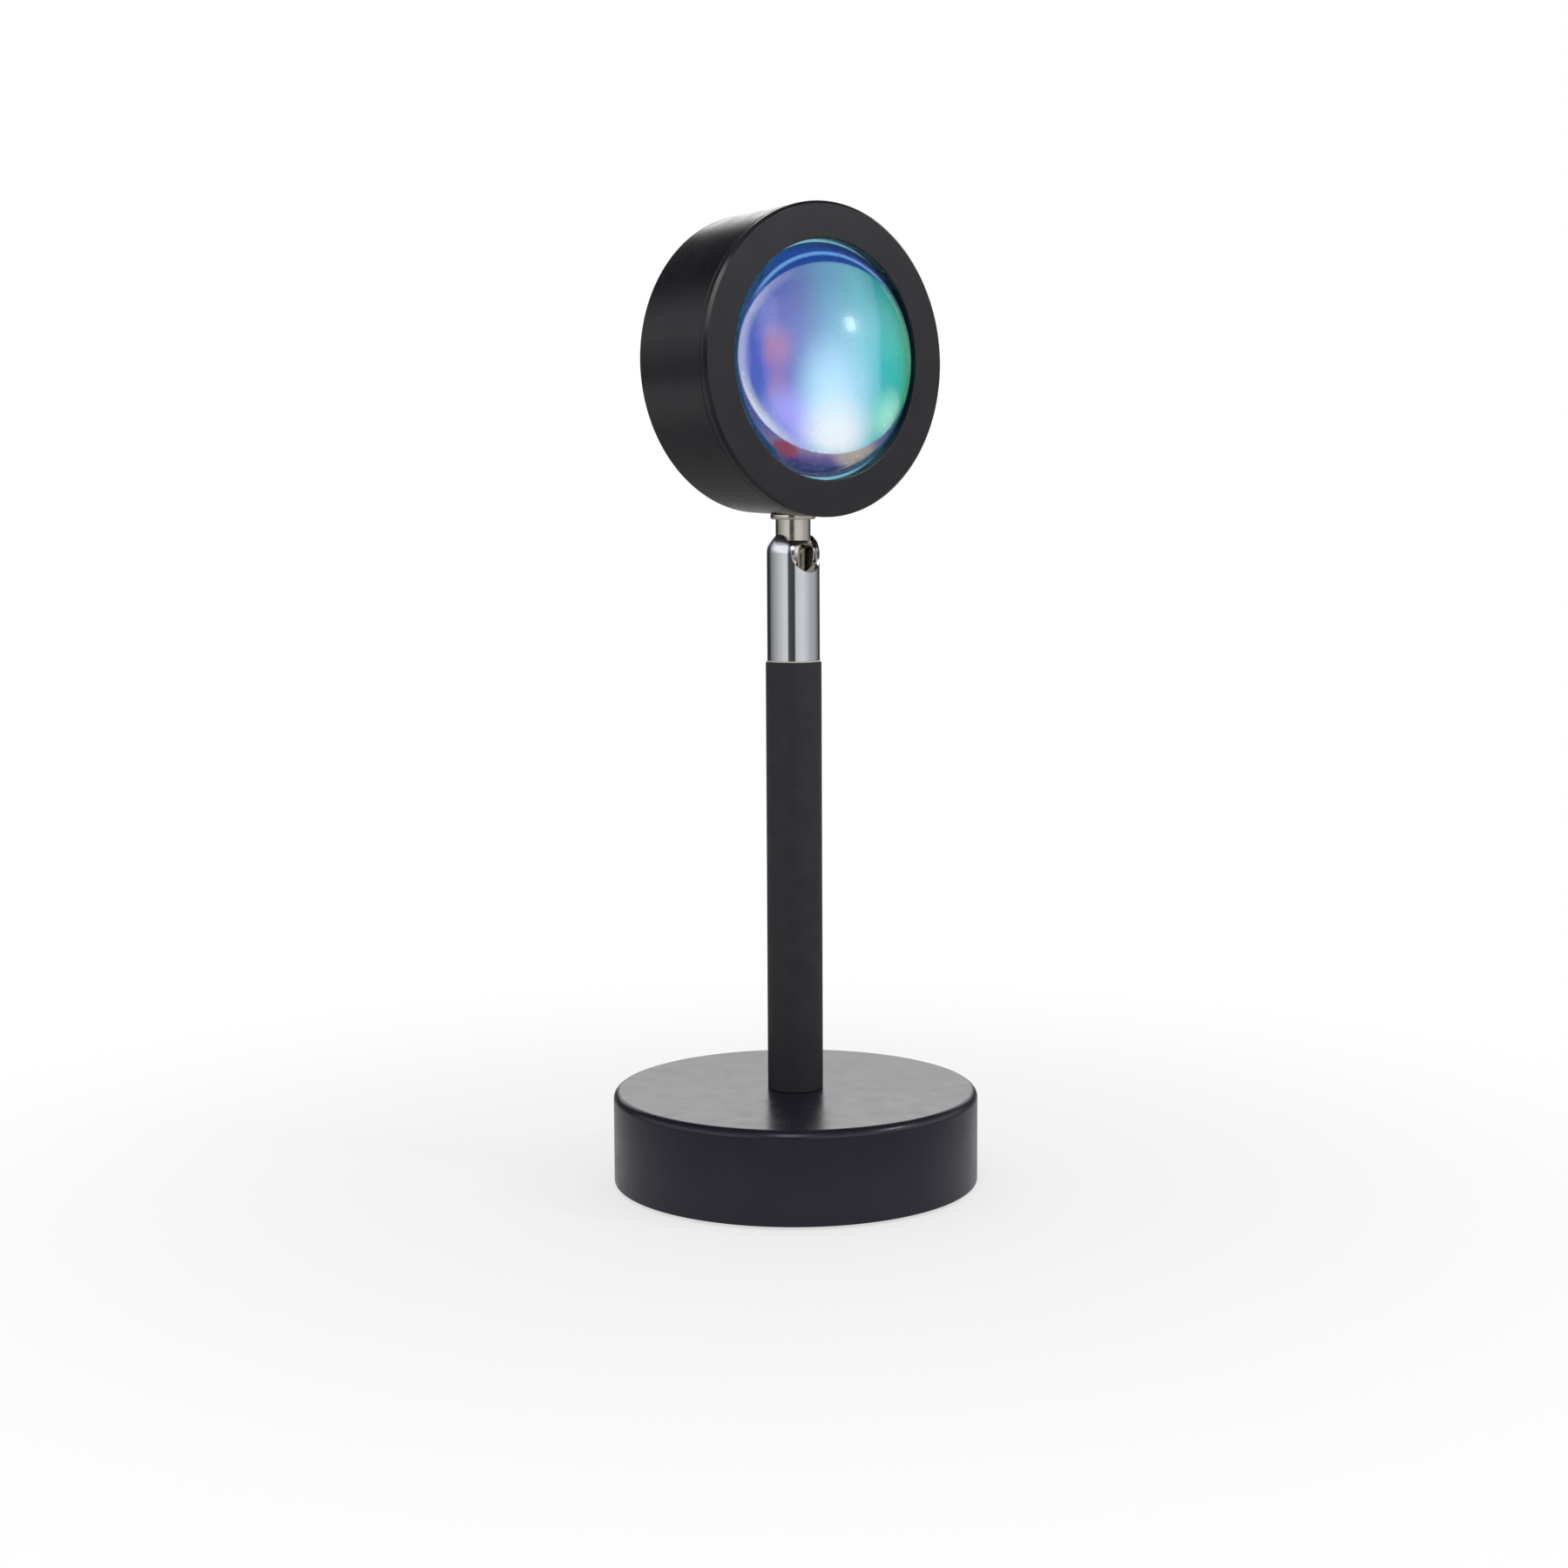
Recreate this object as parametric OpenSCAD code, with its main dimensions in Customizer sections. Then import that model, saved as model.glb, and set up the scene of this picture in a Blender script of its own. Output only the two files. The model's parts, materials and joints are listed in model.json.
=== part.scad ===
// Sunset projection lamp: a heavy round base, a sleeved stem, a chrome ball joint with a tilt slot,
// and a drum head that holds an LED, a colour filter and a domed lens.
// Millimetres. +Z is up, the origin is the middle of the base's underside, and the lens looks along -Y.

/* [Base] */
// Diameter of the base
base_d = 101.6; // [90:0.1:140]
// Height of the base, foot pad included
base_h = 26.4; // [25:0.1:40]
// Side wall of the base shell
base_wall = 3; // [2:0.1:5]
// Top plate of the base shell
base_top_t = 3; // [2:0.1:5]
// Radius of the rounded top edge
base_edge_r = 2.2; // [0.5:0.1:2.8]
// Thickness of the foot pad
pad_t = 2; // [1:0.1:3]
// How far the pad stands below the shell's rim
pad_proud = 0.8; // [0.3:0.1:0.9]
// Thickness of the bottom plate
plate_t = 1.6; // [1:0.1:2.5]
// Thickness of the cast weight
weight_t = 10; // [8:0.1:11]
// Depth of the pocket for the stem nut in the weight
nut_pocket_h = 5; // [3:0.1:6]
// Number of screws that hold the bottom plate
plate_screw_count = 3; // [3:1:6]
// Distance from the shell's inner wall to the bottom screws
plate_screw_inset = 9.8; // [9:0.1:12]
// Length of the bottom screws
plate_screw_len = 12; // [8:0.5:13]

/* [Stem] */
// Outer diameter of the stem tube
stem_d = 15.4; // [15:0.1:24]
// Wall of the stem tube
stem_wall = 1.2; // [0.8:0.1:1.2]
// Length of the stem tube above the base
stem_len = 119.35; // [80:0.05:220]
// Outer diameter of the hollow threaded nipple
nipple_d = 10; // [9:0.1:10.5]
// Bore of the nipple
nipple_bore_d = 6.4; // [4:0.1:6.5]
// Depth that the nipple reaches into the stem plug
nipple_grip = 12; // [6:0.1:14]
// Length of the plug in the foot of the stem
plug_len = 14; // [14:0.1:30]
// Height of the stem nut
stem_nut_h = 5; // [4:0.1:6]
// Stem nut across flats
stem_nut_af = 14; // [13:0.1:17]

/* [Ball joint] */
// Outer diameter of the chrome barrel
barrel_d = 14.54; // [14.3:0.01:16]
// Length of the barrel from its foot to the middle of the ball
barrel_len = 29.25; // [28:0.05:50]
// Diameter of the ball
ball_d = 12; // [12:0.1:12.6]
// Diameter of the neck above the ball
neck_d = 9.6; // [8:0.1:9.6]
// Bore through the ball and neck for the leads
neck_bore_d = 4.8; // [3:0.1:5]
// Height of the neck from the middle of the ball to the washer under the head
neck_len = 9.3; // [8:0.05:14]
// Width of the lead slot in the ball
ball_slot_w = 5.6; // [3:0.1:6]
// Diameter of the threaded end that clamps the head
neck_thread_d = 8; // [6:0.1:8]
// Length of the swivel spigot inside the barrel
spigot_len = 11.7; // [10:0.1:14]
// Length of the swivel spigot inside the stem
spigot_root = 14.8; // [8:0.1:30]
// Bore of the swivel spigot
spigot_bore_d = 6; // [4:0.1:7]
// Wire of the ball spring
spring_wire_d = 0.9; // [0.6:0.05:1.1]
// Turns of the ball spring
spring_turns = 5; // [3:1:6]
// Total height of the ball seat
seat_h = 6.5; // [5:0.1:7]

/* [Head] */
// Diameter of the head at its front face
head_front_d = 84; // [80:0.1:100]
// Diameter of the head at its back face
head_back_d = 81.6; // [80:0.1:98]
// Depth of the drum from back to front face
head_depth = 29.8; // [29:0.1:50]
// Thickness of the front ring's flange
ring_t = 2.6; // [1.5:0.1:3.5]
// Diameter of the opening in the front ring
opening_d = 64; // [58:0.1:65]
// Inner diameter of the head shell
shell_bore_d = 77.6; // [74:0.1:78]
// Seat of the neck in the shell wall, measured up from the washer
neck_seat_t = 4.55; // [3.5:0.05:6]
// Chamfer round the head's front and back edges
head_edge = 0.8; // [0.2:0.1:1]
// Chamfer round the opening in the front ring
opening_edge = 0.4; // [0.2:0.1:1]

/* [Lens and light] */
// Diameter of the lens
lens_d = 66; // [60:0.1:66.5]
// Radius of the lens's domed face
lens_dome_r = 38; // [36:0.1:60]
// Thickness of the lens at its rim
lens_rim_t = 1.2; // [1:0.1:2]
// Thickness of the gasket behind the lens
gasket_t = 0.9; // [0.5:0.1:1.2]
// Diameter of the colour filter
filter_d = 52; // [44:0.1:54]
// Thickness of the colour filter, which lies against the lens's back
filter_t = 1.5; // [1.3:0.1:1.8]
// Thickness of the lens holder's flange
holder_flange_t = 1.4; // [1.4:0.1:1.8]
// Wall of the lens holder's cone
holder_wall = 1.6; // [1:0.1:2]
// Inner radius of the lens holder at the LED
holder_throat_r = 14; // [13.5:0.1:17]
// Diameter of the LED board
board_d = 24; // [20:0.1:26]
// Thickness of the LED board
board_t = 1.6; // [1:0.1:2]
// Diameter of the LED's light field
led_d = 9; // [6:0.1:12]
// Thickness of the heat sink's plate
sink_t = 2; // [1.5:0.1:3]
// Height of the heat sink's fins
fin_h = 2.8; // [1:0.1:3.5]
// Thickness of one fin
fin_t = 1.2; // [0.8:0.1:2]
// Distance between fins
fin_pitch = 4.6; // [3:0.1:8]
// Thickness of the rear cover
cover_t = 1.6; // [1:0.1:2]
// Number of vent slots in the rear cover
vent_count = 18; // [6:1:24]
// Length of a vent slot
vent_len = 9; // [4:0.1:12]
// Width of a vent slot
vent_w = 2; // [1:0.1:2.5]
// Number of rear cover screws
cover_screw_count = 3; // [3:1:4]
// Radius of the circle that the rear cover screws stand on
cover_screw_ring_r = 31; // [27:0.1:32]

/* [Driver board] */
// Length of the driver board
driver_l = 34; // [26:0.1:44]
// Width of the driver board
driver_w = 17; // [14:0.1:20]
// Thickness of the driver board
driver_t = 1.6; // [1:0.1:2]
// Height of the board's standoffs
standoff_h = 2.4; // [1.5:0.1:3]
// Gap between the driver board and the screw boss beside it
driver_gap = 0.5; // [0.3:0.1:2]

/* [Leads and inlet] */
// Diameter of the two-core lead
lead_d = 3; // [2:0.1:3.4]
// Diameter of the lead in the head
head_lead_d = 2.4; // [1.6:0.1:2.6]
// Bore of the cord inlet's gland
gland_bore_d = 3.8; // [3:0.1:4.4]

/* [Clearances] */
// Radial clearance of a running fit
run_gap = 0.05; // [0.02:0.01:0.09]
// Clearance round the neck in the barrel's mouth and tilt slot
slot_gap = 0.3; // [0.2:0.05:0.4]
// Clearance between pieces that are assembled by hand
fit_gap = 0.1; // [0.05:0.05:0.2]

/* [Hidden] */
$fn = 96;

// Standard M3 and M2 screws: thread radius, head radius, countersunk head height
m3 = [1.5, 2.8, 1.6];
m2 = [1, 1.9, 1.1];
screw_gap = 0.15;
cut = 1; // how far a cutting solid runs past the face that it opens

// Base levels
base_r = base_d / 2;
shell_z = pad_proud;
shell_in_r = base_r - base_wall;
plate_z = pad_t;
plate_top = plate_z + plate_t;
plate_r = shell_in_r - fit_gap;
pad_margin = 1.2;
ceiling_z = base_h - base_top_t;
weight_z = ceiling_z - weight_t;
weight_gap = 3;
weight_r = shell_in_r - weight_gap;
plate_screw_ring_r = shell_in_r - plate_screw_inset;
boss_r = 4;
pilot_floor = 0.6; // what a blind screw hole leaves of the plate
pad_edge = 0.4;
nut_face = weight_z + nut_pocket_h;
washer_t = 1.2;
nut_z = nut_face - washer_t - stem_nut_h;
nipple_z = nut_z - 1;
wrench_gap = 3; // room for a box wrench round the stem nut
nut_pocket_r = stem_nut_af / 2 / cos(30) + wrench_gap;
stem_washer_r = nut_pocket_r - 1;

// Stem levels
stem_r = stem_d / 2;
stem_in_r = stem_r - stem_wall;
stem_top = base_h + stem_len;
nipple_r = nipple_d / 2;
tube_edge = 0.3;

// Ball joint levels
barrel_r = barrel_d / 2;
slip_washer_t = 0.3;
barrel_z = stem_top + slip_washer_t + run_gap;
ball_z = barrel_z + barrel_len;
ball_r = ball_d / 2;
socket_r = ball_r + run_gap;
neck_r = neck_d / 2;
mouth_r = neck_r + slot_gap;
spigot_r = socket_r - run_gap;
spigot_top = stem_top + spigot_len;
seat_overlap = 2.4;
seat_top = ball_z - seat_overlap;
seat_z = seat_top - seat_h;
seat_lead_gap = 1.2;
seat_bore_r = lead_d / 2 + seat_lead_gap;
clip_t = 1;
clip_depth = 4.4;
clip_z = spigot_top - clip_depth;
clip_in_r = spigot_r - 0.55;
clip_out_r = socket_r + 0.5;
clip_gap_deg = 40;
stop_z = stem_top + 2.4;
stop_pin_r = 0.5;
stop_tip_r = socket_r + 0.4;
stop_groove_r = stop_tip_r + 0.1;
stop_lug_deg = 9;
spring_r = spring_wire_d / 2;
spring_side_gap = 0.55;
spring_mean_r = ball_r - spring_r - spring_side_gap;
slot_lift = 0.1; // how far the ball's lead slot arches above the ball's middle

// Head levels. Along the head's own axis, 0 is the middle of the drum and plus is towards the lens.
front_z = head_depth / 2;
back_z = -head_depth / 2;
ring_z = front_z - ring_t;
front_r = head_front_d / 2;
back_r = head_back_d / 2;
shell_bore_r = shell_bore_d / 2;
function drum_r(z) = back_r + (front_r - back_r) * (z - back_z) / head_depth;
washer_r = 6.2;
saddle_margin = 1; // what the head's neck seat stands out past the washer
saddle_half_l = washer_r + 2 * saddle_margin;
washer_recess = 3; // how far below the washer its recess in the head is cut
neck_washer_t = 1.6;
neck_seat_sink = 0.45;
neck_washer_z = ball_z + neck_len;
seat_face_z = neck_washer_z + neck_washer_t + run_gap;
head_z = seat_face_z + drum_r(0) - neck_seat_sink;
spring_washer_t = 0.8;
spring_washer_z = seat_face_z + neck_seat_t + run_gap;
neck_nut_z = spring_washer_z + spring_washer_t;
neck_nut_h = 4;
neck_nut_af = 11;
thread_end = 0.8; // thread that shows past the neck nut
thread_top = neck_nut_z + neck_nut_h + thread_end;
opening_r = opening_d / 2;
lens_r = lens_d / 2;
function dome_sag(r) = lens_dome_r - sqrt(pow(lens_dome_r, 2) - pow(r, 2));
lens_apex = ring_z + dome_sag(opening_r) - fit_gap;
lens_back = lens_apex - dome_sag(lens_r) - lens_rim_t;
gasket_z = lens_back - gasket_t;
flange_z = gasket_z - holder_flange_t;
skirt_out_r = shell_bore_r - fit_gap;
skirt_in_r = lens_r + 3 * fit_gap;
flange_r = (skirt_in_r + skirt_out_r) / 2;
filter_r = filter_d / 2;
gasket_gap = 3; // between the filter's edge and the gasket
gasket_bore_r = filter_r + gasket_gap;
filter_z = lens_back - filter_t;
filter_lip = 1;
cover_sink = 0.4;
cover_z = back_z + cover_sink;
ledge_t = 1.2;
ledge_z = cover_z + cover_t;
ledge_top = ledge_z + ledge_t;
ledge_w = 3.3;
ledge_r = shell_bore_r - ledge_w;
cover_margin = 0.4;
cover_r = shell_bore_r - cover_margin;
sink_rim_h = 2;
sink_z = ledge_top + sink_rim_h;
sink_top = sink_z + sink_t;
sink_r = shell_bore_r - fit_gap;
sink_rim_r = ledge_r + 0.6; // the ledge carries the heat sink's rim
fin_field_r = ledge_r - 1.5;
weld = 0.5; // how far a fin, boss or rim runs into the plate that carries it
cover_boss_r = 3.3;
vent_boss_gap = 2;
board_r = board_d / 2;
board_top = sink_top + board_t;
led_t = 0.9;
led_frame = 1.6;
led_screw_edge = 3;
led_screw_r = board_r - led_screw_edge;
cone_z = board_top + 1;
lead_r = lead_d / 2;
head_lead_r = head_lead_d / 2;
lead_bend_r = 4;
lead_gap = 0.5; // round the head lead in the lens holder's notch
lead_notch_h = 2.5;
lead_on_board = 2; // how far a lead's end reaches over the board that it is soldered to
joint_lead_gap = 0.6; // between the stem lead's end and the ball
ball_lead_inset = 0.8; // between the head lead's end and the bottom of the ball
lead_rise = 1; // straight run of the head lead above the neck's thread

// Driver board and inlet levels
driver_z = plate_top + standoff_h;
driver_y = plate_screw_ring_r - boss_r - driver_gap - driver_w / 2;
standoff_r = 2.4;
standoff_inset = 3;
standoff_x = driver_l / 2 - standoff_inset;
solder = 0.01; // how deep a part on the driver board sinks into it
// Parts on the driver board: a round capacitor, a flat coil and a long block, by corner or middle
capacitor_r = 3.4;
capacitor_h = 3.4;
capacitor_x = -4;
coil_size = [5, 4, 1.5];
coil_at = [3, -3.5];
block_size = [6, 2.6, 2];
block_at = [3, 2.2];
inlet_z = driver_z + driver_t + lead_r;
supply_bend_r = 6;
supply_turn_y = 20; // where the supply lead leaves the middle, to pass beside the nut
gland_wall = 1.6;
gland_r = gland_bore_d / 2 + gland_wall;
gland_flange_r = gland_r + 1.5;
gland_collar_r = gland_r + 0.8; // the snap collar inside the shell
gland_flange_t = 1.3;
gland_sink = 0.3;
gland_tail = 3;
// A flat spot in the shell's round side takes the gland's flange, below the side's bulge.
gland_face_y = sqrt(pow(base_r, 2) - pow(gland_flange_r + fit_gap, 2)) - gland_sink;
gland_in_y = shell_in_r - gland_tail;
gland_collar_y = sqrt(pow(shell_in_r, 2) - pow(gland_collar_r, 2)) - fit_gap;

// Shapes that repeat ---------------------------------------------------------------------------

// A ring from z to z + h
module ring(r_out, r_in, z, h) {
    translate([0, 0, z]) difference() {
        cylinder(r = r_out, h = h);
        translate([0, 0, -cut]) cylinder(r = r_in, h = h + 2 * cut);
    }
}

// A rod from z to z + h
module rod(r, z, h) {
    translate([0, 0, z]) cylinder(r = r, h = h);
}

// Half outline of a disc whose top edge is rounded by e
module rounded_disc_outline(r, h, e) {
    square([r - e, h]);
    square([r, h - e]);
    translate([r - e, h - e]) circle(e);
}

// Half outline of a round-ended rod: straight for h, then a quarter circle
module dome_outline(r, h) {
    square([r, h]);
    translate([0, h]) intersection() {
        circle(r);
        square([r, r]);
    }
}

// Half outline of a tube whose ends are chamfered by e on the outside
module tube_outline(r_out, r_in, h, e) {
    polygon([[r_in, 0], [r_out - e, 0], [r_out, e], [r_out, h - e], [r_out - e, h], [r_in, h]]);
}

// A quarter bend in a round lead, in the XY plane, from the X axis to the Y axis
module bend(r, bend_r) {
    rotate_extrude(angle = 90) translate([bend_r, 0]) circle(r);
}

// A hexagonal nut standing on z
module hex_nut(across_flats, bore_r, z, h) {
    translate([0, 0, z]) difference() {
        cylinder(r = across_flats / 2 / cos(30), h = h, $fn = 6);
        translate([0, 0, -cut]) cylinder(r = bore_r, h = h + 2 * cut);
    }
}

// A countersunk screw whose head face is at 0 and whose thread points along +Z
module flat_screw(size, length) {
    difference() {
        union() {
            cylinder(r1 = size[1], r2 = size[0], h = size[2]);
            cylinder(r = size[0], h = length);
        }
        for (turn = [0, 90]) rotate(turn)
            translate([-size[1] * 0.6, -size[0] * 0.2, -cut])
                cube([size[1] * 1.2, size[0] * 0.4, cut + size[2] * 0.55]);
    }
}

// The hole for a countersunk screw
module flat_screw_hole(size, length) {
    translate([0, 0, -cut]) cylinder(r = size[1] + screw_gap, h = cut);
    cylinder(r1 = size[1] + screw_gap, r2 = size[0] + screw_gap, h = size[2]);
    cylinder(r = size[0] + screw_gap, h = length);
}

// A pan-head screw whose head sits on 0 and whose thread points along -Z
module pan_screw(size, length) {
    difference() {
        union() {
            cylinder(r = size[1], h = size[2]);
            translate([0, 0, -length]) cylinder(r = size[0], h = length);
        }
        for (turn = [0, 90]) rotate(turn)
            translate([-size[1] * 0.6, -size[0] * 0.2, size[2] * 0.45])
                cube([size[1] * 1.2, size[0] * 0.4, size[2]]);
    }
}

// Copies round the Z axis, the first one towards -Y
module around(count, r) {
    for (i = [0 : count - 1]) rotate(i * 360 / count) translate([0, -r, 0]) children();
}

// The head's own frame: its Z runs along the head's axis towards the lens, its Y points up
module in_head() {
    translate([0, 0, head_z]) rotate([90, 0, 0]) children();
}

// Base -----------------------------------------------------------------------------------------

module base_shell() {
    color("#26252b") difference() {
        rotate_extrude() difference() {
            translate([0, shell_z]) rounded_disc_outline(base_r, base_h - shell_z, base_edge_r);
            square([shell_in_r, ceiling_z]);
            square([nipple_r + fit_gap, base_h + cut]);
        }
        translate([0, gland_in_y, inlet_z]) rotate([-90, 0, 0])
            cylinder(r = gland_r + fit_gap, h = base_r);
        translate([0, gland_face_y - gland_flange_t, inlet_z]) rotate([-90, 0, 0])
            cylinder(r = gland_flange_r + fit_gap, h = base_r);
    }
}

module base_weight() {
    color("#4a4b4d") difference() {
        union() {
            rod(weight_r, weight_z, weight_t);
            around(plate_screw_count, plate_screw_ring_r)
                rod(boss_r, plate_top, weight_z - plate_top + cut);
        }
        rod(nipple_r + fit_gap, weight_z - cut, weight_t + 2 * cut);
        rod(nut_pocket_r, weight_z - cut, nut_pocket_h + cut);
        around(plate_screw_count, plate_screw_ring_r)
            rod(m3[0], plate_top - cut, plate_screw_len - plate_t + 2 * cut);
    }
}

module bottom_plate() {
    color("#3a3a3c") difference() {
        union() {
            rod(plate_r, plate_z, plate_t);
            for (side = [-1, 1]) translate([side * standoff_x, -driver_y, 0])
                rod(standoff_r, plate_top, standoff_h);
        }
        around(plate_screw_count, plate_screw_ring_r)
            translate([0, 0, plate_z]) flat_screw_hole(m3, plate_t + cut);
        for (side = [-1, 1]) translate([side * standoff_x, -driver_y, 0])
            rod(m2[0], plate_z + pilot_floor, plate_t + standoff_h);
    }
}

module foot_pad() {
    color("#1b1b1d") rotate_extrude()
        polygon([[0, 0], [plate_r - pad_margin - pad_edge, 0], [plate_r - pad_margin, pad_edge],
            [plate_r - pad_margin, pad_t], [0, pad_t]]);
}

module bottom_screws() {
    color("#8d8f93") around(plate_screw_count, plate_screw_ring_r)
        translate([0, 0, plate_z]) flat_screw(m3, plate_screw_len);
}

module cord_gland() {
    color("#1d1d1f") translate([0, 0, inlet_z]) rotate([-90, 0, 0]) difference() {
        union() {
            rod(gland_r, gland_in_y, gland_face_y - gland_in_y);
            rod(gland_flange_r, gland_face_y - gland_flange_t, gland_flange_t);
            rod(gland_collar_r, gland_in_y, gland_collar_y - gland_in_y);
        }
        rod(gland_bore_d / 2, gland_in_y - cut, base_r);
    }
}

// Lead from the gland to the driver board, with an S-bend that takes it past the stem nut
module supply_lead() {
    last_y = supply_turn_y - 2 * supply_bend_r;
    end_y = -driver_y + driver_w / 2 - lead_on_board;
    color("#202022") translate([0, 0, inlet_z]) {
        translate([0, supply_turn_y, 0]) rotate([-90, 0, 0])
            rod(lead_r, 0, gland_in_y - fit_gap - supply_turn_y);
        translate([supply_bend_r, supply_turn_y, 0]) rotate(180) bend(lead_r, supply_bend_r);
        translate([supply_bend_r, last_y, 0]) bend(lead_r, supply_bend_r);
        translate([2 * supply_bend_r, end_y, 0]) rotate([-90, 0, 0]) rod(lead_r, 0, last_y - end_y);
    }
}

module driver_board() {
    color("#1f6b3f") translate([0, -driver_y, driver_z]) difference() {
        union() {
            translate([-driver_l / 2, -driver_w / 2, 0]) cube([driver_l, driver_w, driver_t]);
            translate([0, 0, driver_t - solder]) {
                translate([capacitor_x, 0, 0]) cylinder(r = capacitor_r, h = capacitor_h);
                translate(coil_at) cube(coil_size);
                translate(block_at) cube(block_size);
            }
        }
        for (side = [-1, 1]) translate([side * standoff_x, 0, 0])
            rod(m2[0] + screw_gap, -cut, driver_t + 2 * cut);
    }
}

module driver_screws() {
    color("#8d8f93") for (side = [-1, 1])
        translate([side * standoff_x, -driver_y, driver_z + driver_t])
            pan_screw(m2, driver_t + standoff_h);
}

// Stem -----------------------------------------------------------------------------------------

module stem_tube() {
    color("#222126") translate([0, 0, base_h]) rotate_extrude()
        tube_outline(stem_r, stem_in_r, stem_len, tube_edge);
}

module stem_plug() {
    color("#a9abae") ring(stem_in_r, nipple_r, base_h, plug_len);
}

module stem_nipple() {
    color("#c9b26b") ring(nipple_r, nipple_bore_d / 2, nipple_z, base_h + nipple_grip - nipple_z);
}

module stem_washer() {
    color("#9fa1a4") ring(stem_washer_r, nipple_r + fit_gap, nut_face - washer_t, washer_t);
}

module stem_nut() {
    color("#b9bbbd") hex_nut(stem_nut_af, nipple_r, nut_z, stem_nut_h);
}

module swivel_spigot() {
    color("#b4b6b9") difference() {
        union() {
            rod(stem_in_r, stem_top - spigot_root, spigot_root);
            rod(spigot_r, stem_top - cut, spigot_len + cut);
        }
        rod(spigot_bore_d / 2, stem_top - spigot_root - cut, spigot_root + spigot_len + 2 * cut);
        ring(spigot_r + cut, clip_in_r - fit_gap, clip_z - fit_gap, clip_t + 2 * fit_gap);
        translate([0, 0, stop_z]) rotate([-90, 0, 0]) cylinder(r = stop_pin_r, h = spigot_r + cut);
    }
}

module pan_stop_pin() {
    pin_foot = spigot_bore_d / 2 + 2 * fit_gap;
    color("#8d8f93") translate([0, 0, stop_z]) rotate([-90, 0, 0])
        rod(stop_pin_r, pin_foot, stop_tip_r - pin_foot);
}

module swivel_washer() {
    color("#d9d9d6") ring(barrel_r, spigot_r + run_gap, stem_top, slip_washer_t);
}

// The two-core lead runs from the driver board up the middle of the stem to just below the ball.
module stem_lead() {
    rise_z = inlet_z + lead_bend_r;
    top_z = ball_z - ball_r - joint_lead_gap;
    start_y = -driver_y + driver_w / 2 - lead_on_board;
    color("#202022") {
        rod(lead_r, rise_z, top_z - rise_z);
        translate([0, -lead_bend_r, rise_z]) rotate([0, 90, 0]) bend(lead_r, lead_bend_r);
        translate([0, start_y, inlet_z]) rotate([-90, 0, 0]) rod(lead_r, 0, -lead_bend_r - start_y);
    }
}

// Ball joint -----------------------------------------------------------------------------------

module swivel_barrel() {
    color("#c3c6cc") difference() {
        translate([0, 0, barrel_z]) rotate_extrude() difference() {
            dome_outline(barrel_r, barrel_len);
            dome_outline(socket_r, barrel_len);
            square([mouth_r, barrel_len + barrel_r + cut]);
            polygon([[barrel_r - tube_edge, -cut], [barrel_r - tube_edge, 0], [barrel_r, tube_edge],
                [barrel_r + cut, tube_edge], [barrel_r + cut, -cut]]);
        }
        translate([0, 0, ball_z]) rotate([90, 0, 0]) cylinder(r = mouth_r, h = barrel_r + cut);
        translate([-mouth_r, -barrel_r - cut, ball_z]) cube([2 * mouth_r, barrel_r + cut, barrel_r + cut]);
        ring(clip_out_r, socket_r - cut, clip_z, clip_t);
        stop_groove();
    }
}

// The groove that the stop pin runs in. The lug left standing in it, towards -Y, ends the turn.
module stop_groove() {
    half_lug = stop_lug_deg / 2;
    translate([0, 0, stop_z - stop_pin_r - fit_gap]) rotate(-90 + half_lug)
        rotate_extrude(angle = 360 - stop_lug_deg)
            translate([socket_r - cut, 0])
                square([stop_groove_r - socket_r + cut, 2 * (stop_pin_r + fit_gap)]);
}

module swivel_clip() {
    color("#8d8f93") translate([0, 0, clip_z]) rotate(90 + clip_gap_deg / 2)
        rotate_extrude(angle = 360 - clip_gap_deg)
            translate([clip_in_r, 0]) square([clip_out_r - clip_in_r, clip_t]);
}

// The seat is notched like the barrel, where the neck comes down.
module ball_seat() {
    color("#e4e2da") difference() {
        rod(socket_r - fit_gap, seat_z, seat_h);
        translate([0, 0, ball_z]) sphere(socket_r);
        translate([0, 0, ball_z]) rotate([90, 0, 0]) cylinder(r = mouth_r, h = barrel_r);
        rod(seat_bore_r, seat_z - cut, seat_h + 2 * cut);
    }
}

// A round-wire compression spring between the spigot and the ball seat
module ball_spring() {
    rings = 8;
    sides = 6;
    gap = run_gap;
    bottom = spigot_top + spring_r + gap;
    rise = seat_z - spring_r - bottom;
    count = rings * spring_turns;
    slant = atan(rise / (2 * PI * spring_mean_r * spring_turns));
    points = [for (i = [0 : count]) let (turn = 360 * i / rings)
        for (j = [0 : sides - 1]) let (side = 360 * j / sides,
                out = spring_mean_r + spring_r * cos(side),
                along = -spring_r * sin(side) * sin(slant),
                high = spring_r * sin(side) * cos(slant))
            [out * cos(turn) - along * sin(turn), out * sin(turn) + along * cos(turn),
                bottom + rise * i / count + high]];
    skin = [for (i = [0 : count - 1]) for (j = [0 : sides - 1])
        let (a = i * sides + j, b = i * sides + (j + 1) % sides)
            each [[a, a + sides, b + sides], [a, b + sides, b]]];
    start_cap = [for (j = [1 : sides - 2]) [0, j, j + 1]];
    end_cap = [for (j = [1 : sides - 2]) [count * sides, count * sides + j + 1, count * sides + j]];
    color("#9da0a4") polyhedron(points, concat(skin, start_cap, end_cap));
}

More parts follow.
